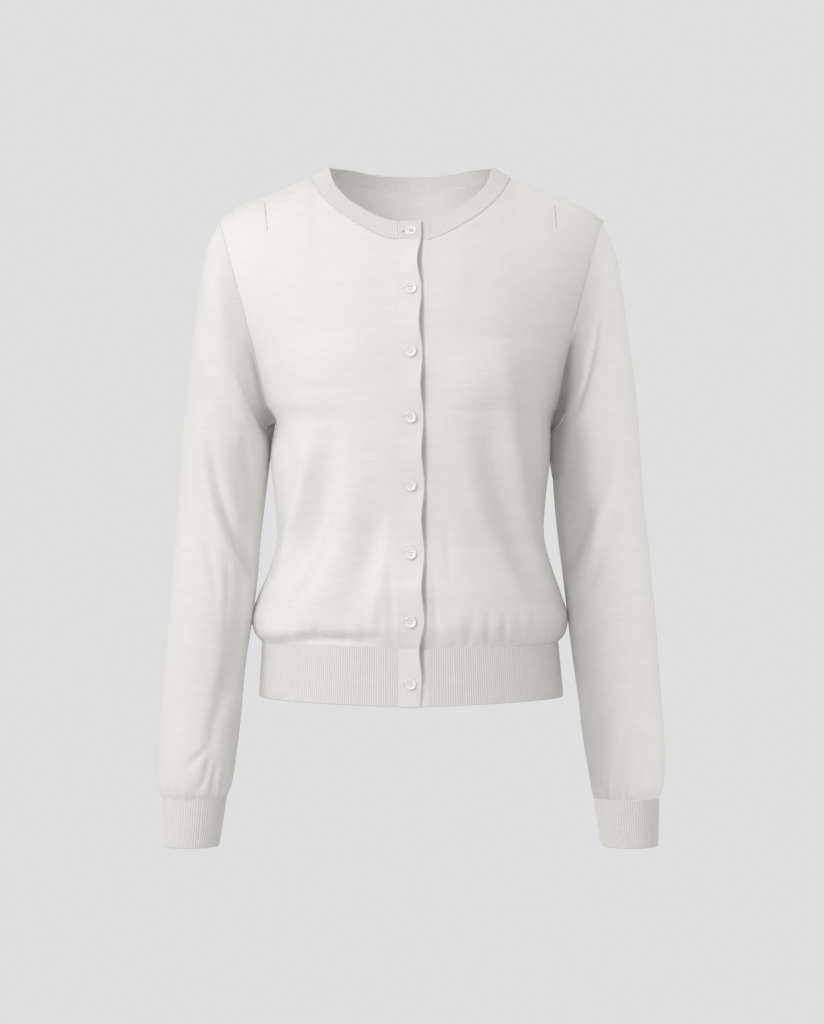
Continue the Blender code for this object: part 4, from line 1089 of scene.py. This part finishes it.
def shape_placket(cloth):
    """Lift the top band's free edge between the buttons, or sink the under band along it."""
    x, z = cloth.points[:, 0], cloth.points[:, 2]
    k, following, t = button_span(z)
    if cloth.name == "band_right":
        reach = np.clip((x - BAND_RIGHT_SEAM) / (free_edge(z) - BAND_RIGHT_SEAM), 0, 1)
        height = PLACKET_LIFT * np.where(following > k, wave(t), 0.0) * reach ** LIFT_POWER
        for centre in BUTTONS["z"]:
            height -= BUTTON_DIMPLE * bell(np.hypot(x, z - centre) / BUTTON_DIMPLE_WIDTH)
        cloth.points[:, 1] -= height
    else:
        depth = np.where(following > k, GROOVE_LEAST + (1 - GROOVE_LEAST) * wave(t), 0.0)
        off = (x - free_edge(z) - GROOVE_SHIFT) / GROOVE_WIDTH
        cloth.points[:, 1] += PLACKET_GROOVE * depth * bell(off)


# ---------------- meshes

def add_object(name, data):
    """Put an object with this data into the scene."""
    item = bpy.data.objects.new(name, data)
    bpy.context.scene.collection.objects.link(item)
    return item


def add_mesh(name, points, faces, material, uvs=None, smooth=False):
    """Make a mesh object, with a uv for each corner of each face where they are given."""
    mesh = bpy.data.meshes.new(name)
    mesh.from_pydata(np.asarray(points, dtype=float).tolist(), [], faces)
    if uvs is not None:
        layer = mesh.uv_layers.new(name="knit")
        layer.data.foreach_set("uv", np.asarray(uvs, dtype=np.float32).ravel())
    if smooth:
        mesh.shade_smooth()
    mesh.materials.append(material)
    return add_object(name, mesh)


def edge_chain(cloth):
    """Return the directed edges along a grid's border."""
    edges = np.concatenate([cloth.quads[:, (k, (k + 1) % 4)] for k in range(4)])
    codes, back = (edges.astype(np.int64) @ pair
                   for pair in ((len(cloth.points), 1), (1, len(cloth.points))))
    return edges[~np.isin(codes, back)]


def shell(cloth, thickness, dip, material):
    """Close a thin shell round a piece: two skins and a rounded rim."""
    count = len(cloth.points)
    outer = cloth.points - cloth.normals * (dip * cloth.sewn)[:, None]
    inner = cloth.points - cloth.normals * thickness
    bulge = np.where(cloth.sewn, TIGHT_GAP * SEWN_BULGE, thickness * RIM_BULGE)
    middle = (outer + inner) / 2 - inward_pull(cloth) * bulge[:, None]
    rim = edge_chain(cloth)
    rim_points = np.unique(rim)
    number = np.zeros(count, dtype=int)
    number[rim_points] = 2 * count + np.arange(len(rim_points))
    a, b = rim[:, 0], rim[:, 1]
    quads = np.concatenate((cloth.quads, cloth.quads[:, ::-1] + count,
                            np.stack((b, a, number[a], number[b]), axis=1),
                            np.stack((number[b], number[a], a + count, b + count), axis=1)))
    uv = corner_uvs(cloth)
    flat = cloth.uv[:, :cloth.columns].reshape(-1, 2)
    rim_uv = np.stack((flat[b], flat[a], flat[a], flat[b]), axis=1)
    item = add_mesh("knit_" + cloth.name, np.concatenate((outer, inner, middle[rim_points])),
                    quads.tolist(), material, np.concatenate((uv, uv[:, ::-1], rim_uv, rim_uv)),
                    smooth=True)
    sharpen(item.data, np.concatenate((rim, rim + count)))
    return item


def sharpen(mesh, chosen):
    """Keep the skins' shading apart from the rim's along the chosen edges."""
    pairs = np.empty(len(mesh.edges) * 2, dtype=np.int32)
    mesh.edges.foreach_get("vertices", pairs)
    codes, wanted = (np.sort(edges, axis=1).astype(np.int64) @ (len(mesh.vertices), 1)
                     for edges in (pairs.reshape(-1, 2), chosen))
    mark = mesh.attributes.new("sharp_edge", "BOOLEAN", "EDGE")
    mark.data.foreach_set("value", np.isin(codes, wanted))


def corner_uvs(cloth):
    """Return the place in the knit of each corner of each quad of a grid."""
    row, place = cloth.quads // cloth.columns, cloth.quads % cloth.columns
    if cloth.ring:
        wraps = place.max(axis=1, keepdims=True) - place.min(axis=1, keepdims=True) > 1
        place = np.where(wraps & (place == 0), cloth.columns, place)
    return cloth.uv[row, place]


def tube_faces(rings, sides):
    """Return the faces of a closed tube of rings, with a face at each end."""
    faces = [(a + i, a + (i + 1) % sides, a + sides + (i + 1) % sides, a + sides + i)
             for a in range(0, (rings - 1) * sides, sides) for i in range(sides)]
    last = (rings - 1) * sides
    return [*faces, tuple(range(sides))[::-1], tuple(range(last, last + sides))]


# ---------------- stitches

def beads(name, places, axes, sizes, material):
    """Make one mesh of small rounded strands, each stretched along its first axis."""
    turn = np.tile(circle(BEAD_SIDES), len(BEAD_STEPS))
    swell = np.repeat(BEAD_SWELL, BEAD_SIDES)
    form = np.stack((np.repeat(BEAD_STEPS, BEAD_SIDES), swell * np.cos(turn),
                     swell * np.sin(turn)), axis=-1)
    points = places[:, None] + np.einsum("vk,nk,nkc->nvc", form, sizes, axes)
    faces = tube_faces(len(BEAD_STEPS), BEAD_SIDES)
    everything = [tuple(v + n * len(form) for v in face)
                  for n in range(len(places)) for face in faces]
    return add_mesh(name, points.reshape(-1, 3), everything, material, smooth=True)


def chain(name, path, lean, material, kind="seam"):
    """Lay a chain of linking stitches along a path: two rows of short slanting strands."""
    rise, scale = STITCHES[kind]
    radius = SEAM_STRAND * scale
    run = run_lengths(path[None])[0]
    count = max(2, round(run[-1] / SEAM_PITCH))
    at = (np.arange(count) + 0.5) / count * run[-1]
    place, up = read_path(at, run, path), read_path(at, run, lean)
    ahead = unit(read_path(at + SEAM_PITCH / 2, run, path) -
                 read_path(at - SEAM_PITCH / 2, run, path))
    side = unit(np.cross(ahead, up))
    up = np.cross(side, ahead)
    places, axes = [], []
    for row in (-1, 1):
        tilt = ahead * math.cos(STITCH_SLANT) + side * row * math.sin(STITCH_SLANT)
        places.append(place + side * row * radius * STITCH_APART + up * rise)
        axes.append(np.stack((tilt, np.cross(tilt, up), up), axis=1))
    sizes = np.tile((SEAM_PITCH * STITCH_LENGTH, radius, radius * STITCH_THICK), (2 * count, 1))
    ride(beads("stitches_" + name, np.concatenate(places), np.concatenate(axes), sizes, material),
         "knit")


# ---------------- buttons

def lathe(profile, sides):
    """Return the points and faces of a form turned about Y, its profile in (radius, height)."""
    points = [(radius * math.cos(a), -height, radius * math.sin(a))
              for radius, height in profile for a in circle(sides)]
    return points, tube_faces(len(profile), sides)


def drill(item, x, z):
    """Cut a round hole along Y through an object."""
    points, faces = lathe(((HOLE_RADIUS, -BUTTON_RADIUS), (HOLE_RADIUS, BUTTON_RADIUS)),
                          HOLE_SIDES)
    cutter = add_mesh("cutter", np.array(points) + (x, 0.0, z), faces, item.data.materials[0])
    cut = item.modifiers.new("hole", "BOOLEAN")
    cut.operation = "DIFFERENCE"
    cut.object = cutter
    cut.solver = "EXACT"
    evaluated = item.evaluated_get(bpy.context.evaluated_depsgraph_get())
    mesh = bpy.data.meshes.new_from_object(evaluated)
    item.modifiers.remove(cut)
    item.data = mesh
    bpy.data.objects.remove(cutter, do_unlink=True)


def button_mesh(material):
    """Return the mesh of a four-hole button with a raised rim and a dished middle."""
    profile = [(radius * BUTTON_RADIUS, height) for radius, height in BUTTON_PROFILE]
    item = add_mesh("button_form", *lathe(profile, BUTTON_SIDES), material)
    for x in (-HOLE_SPREAD, HOLE_SPREAD):
        for z in (-HOLE_SPREAD, HOLE_SPREAD):
            drill(item, x, z)
    mesh = item.data
    mesh.shade_smooth()
    mesh.set_sharp_from_angle(angle=math.radians(BUTTON_CREASE))
    bpy.data.objects.remove(item, do_unlink=True)
    return mesh


def thread_strands():
    """Return the places, axes and sizes of the strands that cross a button between its holes."""
    places, axes = [], []
    for z in (-HOLE_SPREAD, HOLE_SPREAD):
        for strand in (-1, 0, 1):
            for end in (-1, 1):
                slope = end * THREAD_SLOPE
                places.append((end * HOLE_SPREAD / 2, -THREAD_TOP,
                               z + strand * THREAD * THREAD_APART))
                axes.append(((math.cos(slope), math.sin(slope), 0), (0, 0, 1),
                             (-math.sin(slope), math.cos(slope), 0)))
    sizes = np.tile((HOLE_SPREAD * THREAD_LENGTH, THREAD, THREAD), (len(places), 1))
    return np.array(places), np.array(axes), sizes


# ---------------- materials

def add_node(tree, kind, inputs=(), output=0, **settings):
    """Add a node with its settings, link or set its inputs, and return one of its outputs."""
    node = tree.nodes.new("ShaderNode" + kind)
    for name, value in settings.items():
        setattr(node, name, value)
    for name, value in dict(inputs).items():
        fill_socket(tree, node.inputs[name], value)
    return node.outputs[output]


def fill_socket(tree, socket, value):
    """Link a socket to another, or set its value."""
    if isinstance(value, bpy.types.NodeSocket):
        tree.links.new(value, socket)
    else:
        socket.default_value = value


class Shading:
    """A material, with short ways to add the nodes that work out its colour and relief."""

    def __init__(self, name, roughness, sheen=0.0, coat=0.0):
        self.material = bpy.data.materials.new(name)
        self.material.use_nodes = True
        self.tree = self.material.node_tree
        self.shader = self.tree.nodes["Principled BSDF"]
        self.shader.inputs["Roughness"].default_value = roughness
        self.shader.inputs["Sheen Weight"].default_value = sheen
        self.shader.inputs["Sheen Roughness"].default_value = 0.5
        self.shader.inputs["Coat Weight"].default_value = coat

    def math(self, operation, *values):
        """Return the result of a Math node."""
        return add_node(self.tree, "Math", enumerate(values), operation=operation)

    def multiply(self, one, other):
        """Return a product."""
        return self.math("MULTIPLY", one, other)

    def less(self, one, other):
        """Return a difference."""
        return self.math("SUBTRACT", one, other)

    def place(self):
        """Return the two coordinates of the knit, in metres."""
        knit = add_node(self.tree, "UVMap", output="UV", uv_map="knit")
        return [add_node(self.tree, "SeparateXYZ", {"Vector": knit}, axis) for axis in "XY"]

    def own_space(self):
        """Return the place in the object's own space, whose heights are the frame's."""
        return add_node(self.tree, "TexCoord", output="Object")

    def noise(self, vector, scale, detail, roughness=0.5):
        """Return noise in a space."""
        return add_node(self.tree, "TexNoise", {"Vector": vector, "Scale": scale,
                                                "Detail": detail, "Roughness": roughness}, "Fac")

    def knit_noise(self, u, v, scales, detail):
        """Return noise over the knit, with its own scale along and across."""
        vector = add_node(self.tree, "CombineXYZ", {"X": self.multiply(u, scales[0]),
                                                    "Y": self.multiply(v, scales[1])})
        return self.noise(vector, 1.0, detail, 0.55)

    def between(self, value, low, high, out_low, out_high):
        """Map a value from one range to another, clamped."""
        return add_node(self.tree, "MapRange",
                        {"From Min": low, "From Max": high, "To Min": out_low,
                         "To Max": out_high, "Value": value}, "Result")

    def mix(self, factor, one, other):
        """Mix two colours."""
        return add_node(self.tree, "Mix", {"Factor": factor, "A": one, "B": other}, "Result",
                        data_type="RGBA")

    def finish(self, colour, relief=None):
        """Set the base colour and the relief, and return the material."""
        fill_socket(self.tree, self.shader.inputs["Base Color"], colour)
        if relief is not None:
            bump = add_node(self.tree, "Bump", {"Strength": RELIEF[0], "Distance": RELIEF[1],
                                                "Height": relief}, "Normal")
            self.tree.links.new(bump, self.shader.inputs["Normal"])
        return self.material


def stitch_relief(shading, u, v, wale):
    """Return the relief of plain knit: two slanting legs of yarn in each wale."""
    across = shading.math("FRACT", shading.math("DIVIDE", u, wale))
    leg = shading.math("ABSOLUTE", shading.less(across, 0.5))
    phase = shading.less(shading.math("DIVIDE", v, COURSE), shading.multiply(leg, LEG_SLANT))
    strand = shading.math("SINE", shading.multiply(phase, 2 * math.pi))
    off = shading.multiply(shading.less(leg, 0.25), 4.0)
    body = shading.less(1.0, shading.multiply(off, off))
    return shading.multiply(body, shading.math("MULTIPLY_ADD", strand, *STRAND_RELIEF))


def yarn_colour(shading, u, v):
    """Return the yarn's uneven colour: thick and thin places along the courses, and specks."""
    slub = shading.knit_noise(u, v, SLUB_SCALE, 3.0)
    streak = shading.knit_noise(u, v, STREAK_SCALE, 2.0)
    cloud = shading.noise(shading.own_space(), CLOUD_SCALE, 2.0)
    shade = shading.math("ADD", shading.between(slub, *SLUB_RANGE),
                         shading.math("ADD", shading.between(streak, *STREAK_RANGE),
                                      shading.between(cloud, *CLOUD_RANGE)))
    return shading.mix(shade, YARN_DARK, YARN_LIGHT)


def painted_rib_shade(shading, u, pitch, valley, crest):
    """Return how much painted shade a place on a rib gets, from its valley to its crest."""
    turn = shading.multiply(shading.math("FRACT", shading.math("DIVIDE", u, pitch)), math.pi)
    return shading.between(shading.math("SINE", turn), *CREST_RANGE, valley, crest)


def knit_material(name, neck=False):
    """Return plain knit. On a band, the part beside the neckband is striped with painted shade, as
    the neckband's rib valleys are.
    """
    shading = Shading(name, KNIT_ROUGHNESS, SHEEN)
    u, v = shading.place()
    colour = yarn_colour(shading, u, v)
    if neck:
        height = add_node(shading.tree, "SeparateXYZ", {"Vector": shading.own_space()}, "Z")
        above = shading.between(height, *NECK_SEAM, 0.0, 1.0)
        # stripes of painted shade where the band runs beside the neckband
        shade = shading.multiply(painted_rib_shade(shading, u, *RIBS["neck"]), above)
        colour = shading.mix(shade, colour, PAINTED_RIB_SHADE)
    slubs = shading.multiply(shading.knit_noise(u, v, SLUB_SCALE, 2.0), SLUB_RELIEF)
    stitches = stitch_relief(shading, u, v, WALE)
    return shading.finish(colour, shading.math("ADD", stitches, slubs))


def rib_material(name):
    """Return ribbed knit, with painted shade in its valleys and a little on its crests."""
    shading = Shading(name + "_rib", RIB_ROUGHNESS, SHEEN)
    u, v = shading.place()
    # the valleys, and a little the crests, are darkened with painted shade
    shade = painted_rib_shade(shading, u, *RIBS[name])
    return shading.finish(shading.mix(shade, yarn_colour(shading, u, v), PAINTED_RIB_SHADE),
                          stitch_relief(shading, u, v, RIBS[name][0]))


def plain_material(name):
    """Return a smooth material with a faint cloud of colour."""
    colour, roughness, coat = PLAIN[name]
    shading = Shading(name, roughness, coat=coat)
    cloud = shading.between(shading.noise(shading.own_space(), PLAIN_CLOUD, 2.0), *PLAIN_RANGE)
    darker = tuple(c * PLAIN_DARKER for c in colour[:3]) + (1.0,)
    return shading.finish(shading.mix(cloud, darker, colour))


def make_materials():
    """Return the materials by name."""
    materials = {name: plain_material(name) for name in PLAIN}
    materials.update({name: rib_material(name) for name in RIBS})
    materials.update(knit=knit_material("fine_knit"), band=knit_material("band_knit", neck=True))
    return materials


# ---------------- the garment

def make_grids():
    """Return the grid of each piece of cloth, with the wearer's left front behind the right."""
    right = half_panel("front", -1, -BAND_RIGHT_SEAM, FRONT_NECK_COLUMNS)
    left = half_panel("front", 1, BAND_LEFT_SEAM, FRONT_NECK_COLUMNS)
    half_neck = BACK_NECK_COLUMNS // 2
    back_right, back_left = (half_panel("back", side, CENTRE_LINE, half_neck) for side in (-1, 1))
    back_right[:, -1, 0] = 0.0
    back = np.concatenate((back_right, back_left[:, -2::-1]), axis=1)
    grids = {"front_right": right, "front_left": left, "back": back}
    for name, front, half, side in (("right", right, back_right, -1), ("left", left, back_left, 1)):
        grids["sleeve_" + name], grids["cuff_" + name] = sleeve_grid(name, front, half, side)
        grids["hem_front_" + name] = np.array((front[0], hem_row("front", side, front[0])))
        grids["band_" + name] = band_grid("band_" + name)
    edge_right, edge_left = hem_row("back", -1, back_right[0]), hem_row("back", 1, back_left[0])
    edge_right[-1, 0] = 0.0
    grids["hem_back"] = np.array((back[0], np.concatenate((edge_right, edge_left[-2::-1]))))

    neck = slice(SHOULDER_COLUMNS, None)
    seam = np.concatenate((right[-1, neck][::-1], back[-1, neck][1:-SHOULDER_COLUMNS],
                           left[-1, neck][1:]))
    front_part = np.linspace(0, 0.5, FRONT_NECK_COLUMNS + 1)
    back_part = np.linspace(0.5, 1, BACK_NECK_COLUMNS // 2 + 1)
    around = np.concatenate((front_part, back_part[1:], back_part[-2::-1], front_part[-2::-1]))
    top = neckband_top(seam, around)
    top[0, 0], top[-1, 0] = BAND_RIGHT_SEAM, BAND_LEFT_SEAM
    for band, front, hem, edge in ((grids["band_right"], right, "hem_front_right", 0),
                                   (grids["band_left"], left, "hem_front_left", -1)):
        band[1:-1, edge] = front[:, -1]
        band[0, edge] = grids[hem][1, -1]
        band[-1, edge] = top[edge]
    neckband = np.array((top, seam))
    ahead = (neckband[..., 1] < NECK_AHEAD) & (neckband[..., 0] > 0)
    neckband[ahead] = behind_lap(neckband)[ahead]
    grids["neckband"] = neckband
    for name in ("front_left", "hem_front_left", "band_left"):
        grids[name] = behind_lap(grids[name])
    return grids


# Each piece of cloth: whether its grid is turned over, its slot, its finish, and what holds it
PIECES = {
    "front_right": (False, "knit", "knit", "back"),
    "front_left": (True, "knit", "knit", "back"),
    "back": (True, "knit", "knit"),
    "sleeve_right": (True, "knit", "knit", "back", "front_right"),
    "sleeve_left": (False, "knit", "knit", "back", "front_left"),
    "cuff_right": (True, "rib", "cuff", "sleeve_right"),
    "cuff_left": (False, "rib", "cuff", "sleeve_left"),
    "hem_front_right": (True, "rib", "hem", "front_right"),
    "hem_front_left": (False, "rib", "hem", "front_left"),
    "hem_back": (False, "rib", "hem", "back"),
    "neckband": (False, "rib", "neck", "back"),
    "band_right": (False, "rib", "band", "front_right"),
    "band_left": (False, "rib", "band", "front_left"),
}


def make_cloths():
    """Return every piece of cloth as a smooth form, before its folds."""
    grids = make_grids()
    cloths = {}
    for name, (flip, *_) in PIECES.items():
        grid, ring = grids[name], name.startswith(("sleeve", "cuff"))
        uv = tube_uv(grid) if ring else panel_uv(grid, -1 if "right" in name else 1)
        if name.startswith("sleeve"):
            uv[..., 1] = closed(grid)[..., 2] - SLEEVE_SLANT * np.abs(closed(grid)[..., 0])
        cloths[name] = Cloth(name, grid, uv, ring, flip)
    match_band(cloths["band_right"], cloths["front_right"], 0)
    match_band(cloths["band_left"], cloths["front_left"], -1)
    return cloths


def match_band(band, front, edge):
    """Let the knit of a band run on from the front beside it."""
    grid = band.grid()
    band.uv[..., 0] = grid[..., 0] - grid[:, edge, 0][:, None]
    inner = front.uv[:, -1, 1]
    low = inner[0] - np.linalg.norm(grid[1, edge] - grid[0, edge])
    high = inner[-1] + np.linalg.norm(grid[-1, edge] - grid[-2, edge])
    band.uv[..., 1] = np.concatenate(([low], inner, [high]))[:, None]


def ride(item, slot, *replaced):
    """Let a piece move with the garment's one body, in the place of solids."""
    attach(item, "root")
    if replaced:
        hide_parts(*replaced)


def build_cloth(materials):
    """Make every piece of cloth, and return the shells and their forms."""
    cloths = make_cloths()
    sleeves = cloths["sleeve_right"], cloths["sleeve_left"]
    for sleeve in sleeves:
        round_head(sleeve)
        turn_back(sleeve)
    for seed, name in enumerate(("front_right", "front_left", "back", "sleeve_right",
                                 "sleeve_left"), start=1):
        crease(cloths[name], seed)
    for sleeve in sleeves:
        tuck_sleeve(sleeve, cloths["back"])
    sew(cloths.values())
    shape_placket(cloths["band_right"])
    for name in ("band_right", "band_left"):
        cloths[name] = refine_band(cloths[name])
    shape_placket(cloths["band_left"])
    cloths["band_left"].refresh()
    items = {}
    for seed, (name, (_, slot, finish, *_)) in enumerate(PIECES.items(), start=40):
        thickness, dip = RIB_CLOTH, RIB_SEAM_DIP
        if finish == "neck":
            cloths[name] = rib_grid(cloths[name], NECK_PITCH, NECK_RIB_HEIGHT, seed, 0)
        elif finish in RIBS:
            cloths[name] = rib_grid(cloths[name], RIBS[finish][0], RIB_HEIGHT, seed, -1)
        elif finish == "band":
            thickness = BAND_CLOTH
        else:
            thickness, dip = CLOTH, seam_dips(cloths[name])
        items[name] = shell(cloths[name], thickness, dip, materials[finish])
        ride(items[name], slot, name)
    return items, cloths


def seam_dips(cloth):
    """Return how far each point dips at its seam: little where a rib or a band is linked on."""
    dips = np.full((cloth.rows, cloth.columns), SEAM_DIP)
    dips[-1 if cloth.ring else 0] = RIB_SEAM_DIP
    if cloth.name.startswith("front"):
        dips[:, -1] = RIB_SEAM_DIP
    return dips.reshape(-1)


def build_seams(cloths, materials):
    """Lay the lines of linking stitches that show."""
    neck, lean = cloths["neckband"].grid()[-1], cloths["neckband"].lean()[-1]
    chain("neck", neck, lean, materials["linking_yarn"])
    chain("neck_inside", neck - lean * CLOTH, -lean, materials["linking_yarn"], "inside")
    for name in ("right", "left"):
        band, sleeve = cloths["band_" + name], cloths["sleeve_" + name]
        row = -1 - BAND_NECK_ROWS
        chain("band_" + name, band.grid()[row], band.lean()[row], materials["linking_yarn"])
        chain("armhole_" + name, closed(sleeve.grid())[0], closed(sleeve.lean())[0],
              materials["linking_yarn"], "armhole")
        # the darts' stitches are dark, which paints the shadow of each dart's crease
        chain("dart_" + name, *dart_path(cloths["front_" + name], *DARTS[name]),
              materials["dart_yarn"], "dart")


def dart_path(cloth, x0, z0, x1, z1):
    """Return a straight line of points and normals on a front, seen from the front."""
    share = np.linspace(0, 1, DART_POINTS)
    place = np.stack((x0 + (x1 - x0) * share, z0 + (z1 - z0) * share), axis=-1)
    gap = np.linalg.norm(place[:, None] - cloth.points[:, [0, 2]], axis=-1)
    near = np.argsort(gap, axis=1)[:, :DART_NEAR]
    weight = 1 / (np.take_along_axis(gap, near, axis=1) + DART_SOFT)
    weight = (weight / weight.sum(axis=1, keepdims=True))[..., None]
    lean = (cloth.normals[near] * weight).sum(axis=1)
    depth = (cloth.points[near] * weight).sum(axis=1)[:, 1]
    return np.stack((place[:, 0], depth, place[:, 1]), axis=-1), lean


def build_buttonholes(band, materials):
    """Lay a stitched slit beside each button, as a dark sheet painted as the shadow in its opening.
    """
    grid = band.grid()
    places, axes, slits, faces = [], [], [], []
    for z, start in zip(BUTTONS["z"], SLIT_STARTS):
        row = int(np.abs(grid[:, BAND_COLUMNS // 2, 2] - z).argmin())
        lean = band.lean()[row, BAND_COLUMNS // 2]
        ahead = np.array((1.0, 0.0, 0.0))
        ahead -= lean * (ahead @ lean)
        ahead /= np.linalg.norm(ahead)
        side = np.cross(ahead, lean)
        base = len(slits)
        share = np.linspace(-1, 1, SLIT_POINTS)
        half = SLIT_HALF * np.sqrt(np.maximum(1 - share ** 2, 0.0))
        run = np.linspace(start, SLIT_END, SLIT_POINTS)
        for middle, width in zip(read_path(run, grid[row, :, 0], grid[row]), half):
            slits.extend((middle + lean * SLIT_RISE + side * width,
                          middle + lean * SLIT_RISE - side * width))
        faces.extend((k, k + 2, k + 3, k + 1)
                     for k in range(base, base + 2 * SLIT_POINTS - 2, 2))
        run = np.arange(start, SLIT_END, SLIT_PITCH)
        for middle in read_path(run, grid[row, :, 0], grid[row]):
            for edge in (-1, 1):
                places.append(middle + side * edge * (SLIT_HALF + SLIT_EDGING) + lean * SLIT_RISE)
                axes.append((side, ahead, lean))
    # the slits are flat dark sheets: painted shadow in each opening
    ride(add_mesh("buttonhole_slits", slits, faces, materials["slit_shadow"]), "rib")
    ride(beads("buttonhole_stitches", np.array(places), np.array(axes),
               np.tile(SLIT_STITCH, (len(places), 1)), materials["linking_yarn"]), "rib")


def build_buttons(band, materials):
    """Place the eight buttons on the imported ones, each sewn on through its holes."""
    mesh = button_mesh(materials["pearl"])
    random = np.random.default_rng(8)
    line = band.grid()[:, BAND_COLUMNS // 2]
    places, axes, sizes = thread_strands()
    for number, z in enumerate(BUTTONS["z"], start=1):
        low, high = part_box(f"button_{number}")
        reach = np.interp((z - BUTTON_RADIUS, z + BUTTON_RADIUS), line[:, 2], line[:, 1])
        slope = -math.atan((reach[1] - reach[0]) / (2 * BUTTON_RADIUS))
        pose = Matrix.Translation(Vector((0.0, high.y - BUTTON_SINK, (low.z + high.z) / 2)))
        for axis, most in BUTTON_TURNS:
            angle = random.uniform(-most, most)
            pose = pose @ Matrix.Rotation(slope + angle if axis == "X" else angle, 4, axis)
        item = add_object(f"pearl_button_{number}", mesh)
        item.matrix_world = pose
        ride(item, "button", f"button_{number}")
        turn, shift = np.array(pose)[:3, :3], np.array(pose)[:3, 3]
        ride(beads(f"button_thread_{number}", places @ turn.T + shift, axes @ turn.T, sizes,
                   materials["button_thread"]), "button")


# ---------------- stage

def build_stage(materials):
    """Make the pale floor, the even pale surround and the camera."""
    scene = bpy.context.scene
    scene.world = bpy.data.worlds.new("studio")
    scene.world.use_nodes = True
    tree = scene.world.node_tree
    surround = tree.nodes["Background"]
    surround.inputs["Color"].default_value = BACKGROUND
    fill = add_node(tree, "Background", {"Color": FILL_COLOUR, "Strength": FILL})
    seen = add_node(tree, "LightPath", output="Is Camera Ray")
    choose = add_node(tree, "MixShader", {"Fac": seen, 1: fill, 2: surround.outputs[0]})
    tree.links.new(choose, tree.nodes["World Output"].inputs["Surface"])

    points = [(FLOOR_RADIUS * math.cos(a), FLOOR_RADIUS * math.sin(a), FLOOR_HEIGHT)
              for a in circle(FLOOR_SIDES)]
    add_mesh("floor", points, [tuple(range(FLOOR_SIDES))], materials["floor"])

    camera = bpy.data.cameras.new("camera")
    camera.sensor_width = SENSOR
    camera.lens = SENSOR * CAMERA_DISTANCE / VIEW_HEIGHT
    view = add_object("camera", camera)
    view.location = (CAMERA_X, -CAMERA_DISTANCE, CAMERA_HEIGHT)
    view.rotation_euler = (math.pi / 2, 0.0, 0.0)
    scene.camera = view
    scene.view_settings.view_transform = "Standard"


def build_lights(shells):
    """Add the square soft lights, none of which is seen itself."""
    for name, (place, target, size, power, state, pieces, shaded) in LIGHTS.items():
        light = bpy.data.lights.new(name, "AREA")
        light.size = size
        light.energy = power
        item = add_object(name, light)
        item.location = place
        item.rotation_euler = (Vector(target) - Vector(place)).to_track_quat("-Z", "Y").to_euler()
        item.visible_camera = False
        if not pieces:
            continue
        group = bpy.data.collections.new(name + "_pieces")
        for piece in pieces:
            group.objects.link(shells[piece])
        for entry in group.collection_objects:
            entry.light_linking.link_state = state
        item.light_linking.receiver_collection = group
        if shaded:
            item.light_linking.blocker_collection = group


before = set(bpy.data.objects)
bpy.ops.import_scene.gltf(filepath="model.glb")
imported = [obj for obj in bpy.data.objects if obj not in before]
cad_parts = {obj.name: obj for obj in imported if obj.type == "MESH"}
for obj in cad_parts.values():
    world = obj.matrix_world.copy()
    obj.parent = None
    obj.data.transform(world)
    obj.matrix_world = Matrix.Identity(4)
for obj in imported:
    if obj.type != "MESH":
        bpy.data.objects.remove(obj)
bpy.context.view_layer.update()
finishes = make_materials()
build_stage(finishes)
shells, forms = build_cloth(finishes)
build_lights(shells)
build_seams(forms, finishes)
build_buttonholes(forms["band_right"], finishes)
build_buttons(forms["band_right"], finishes)
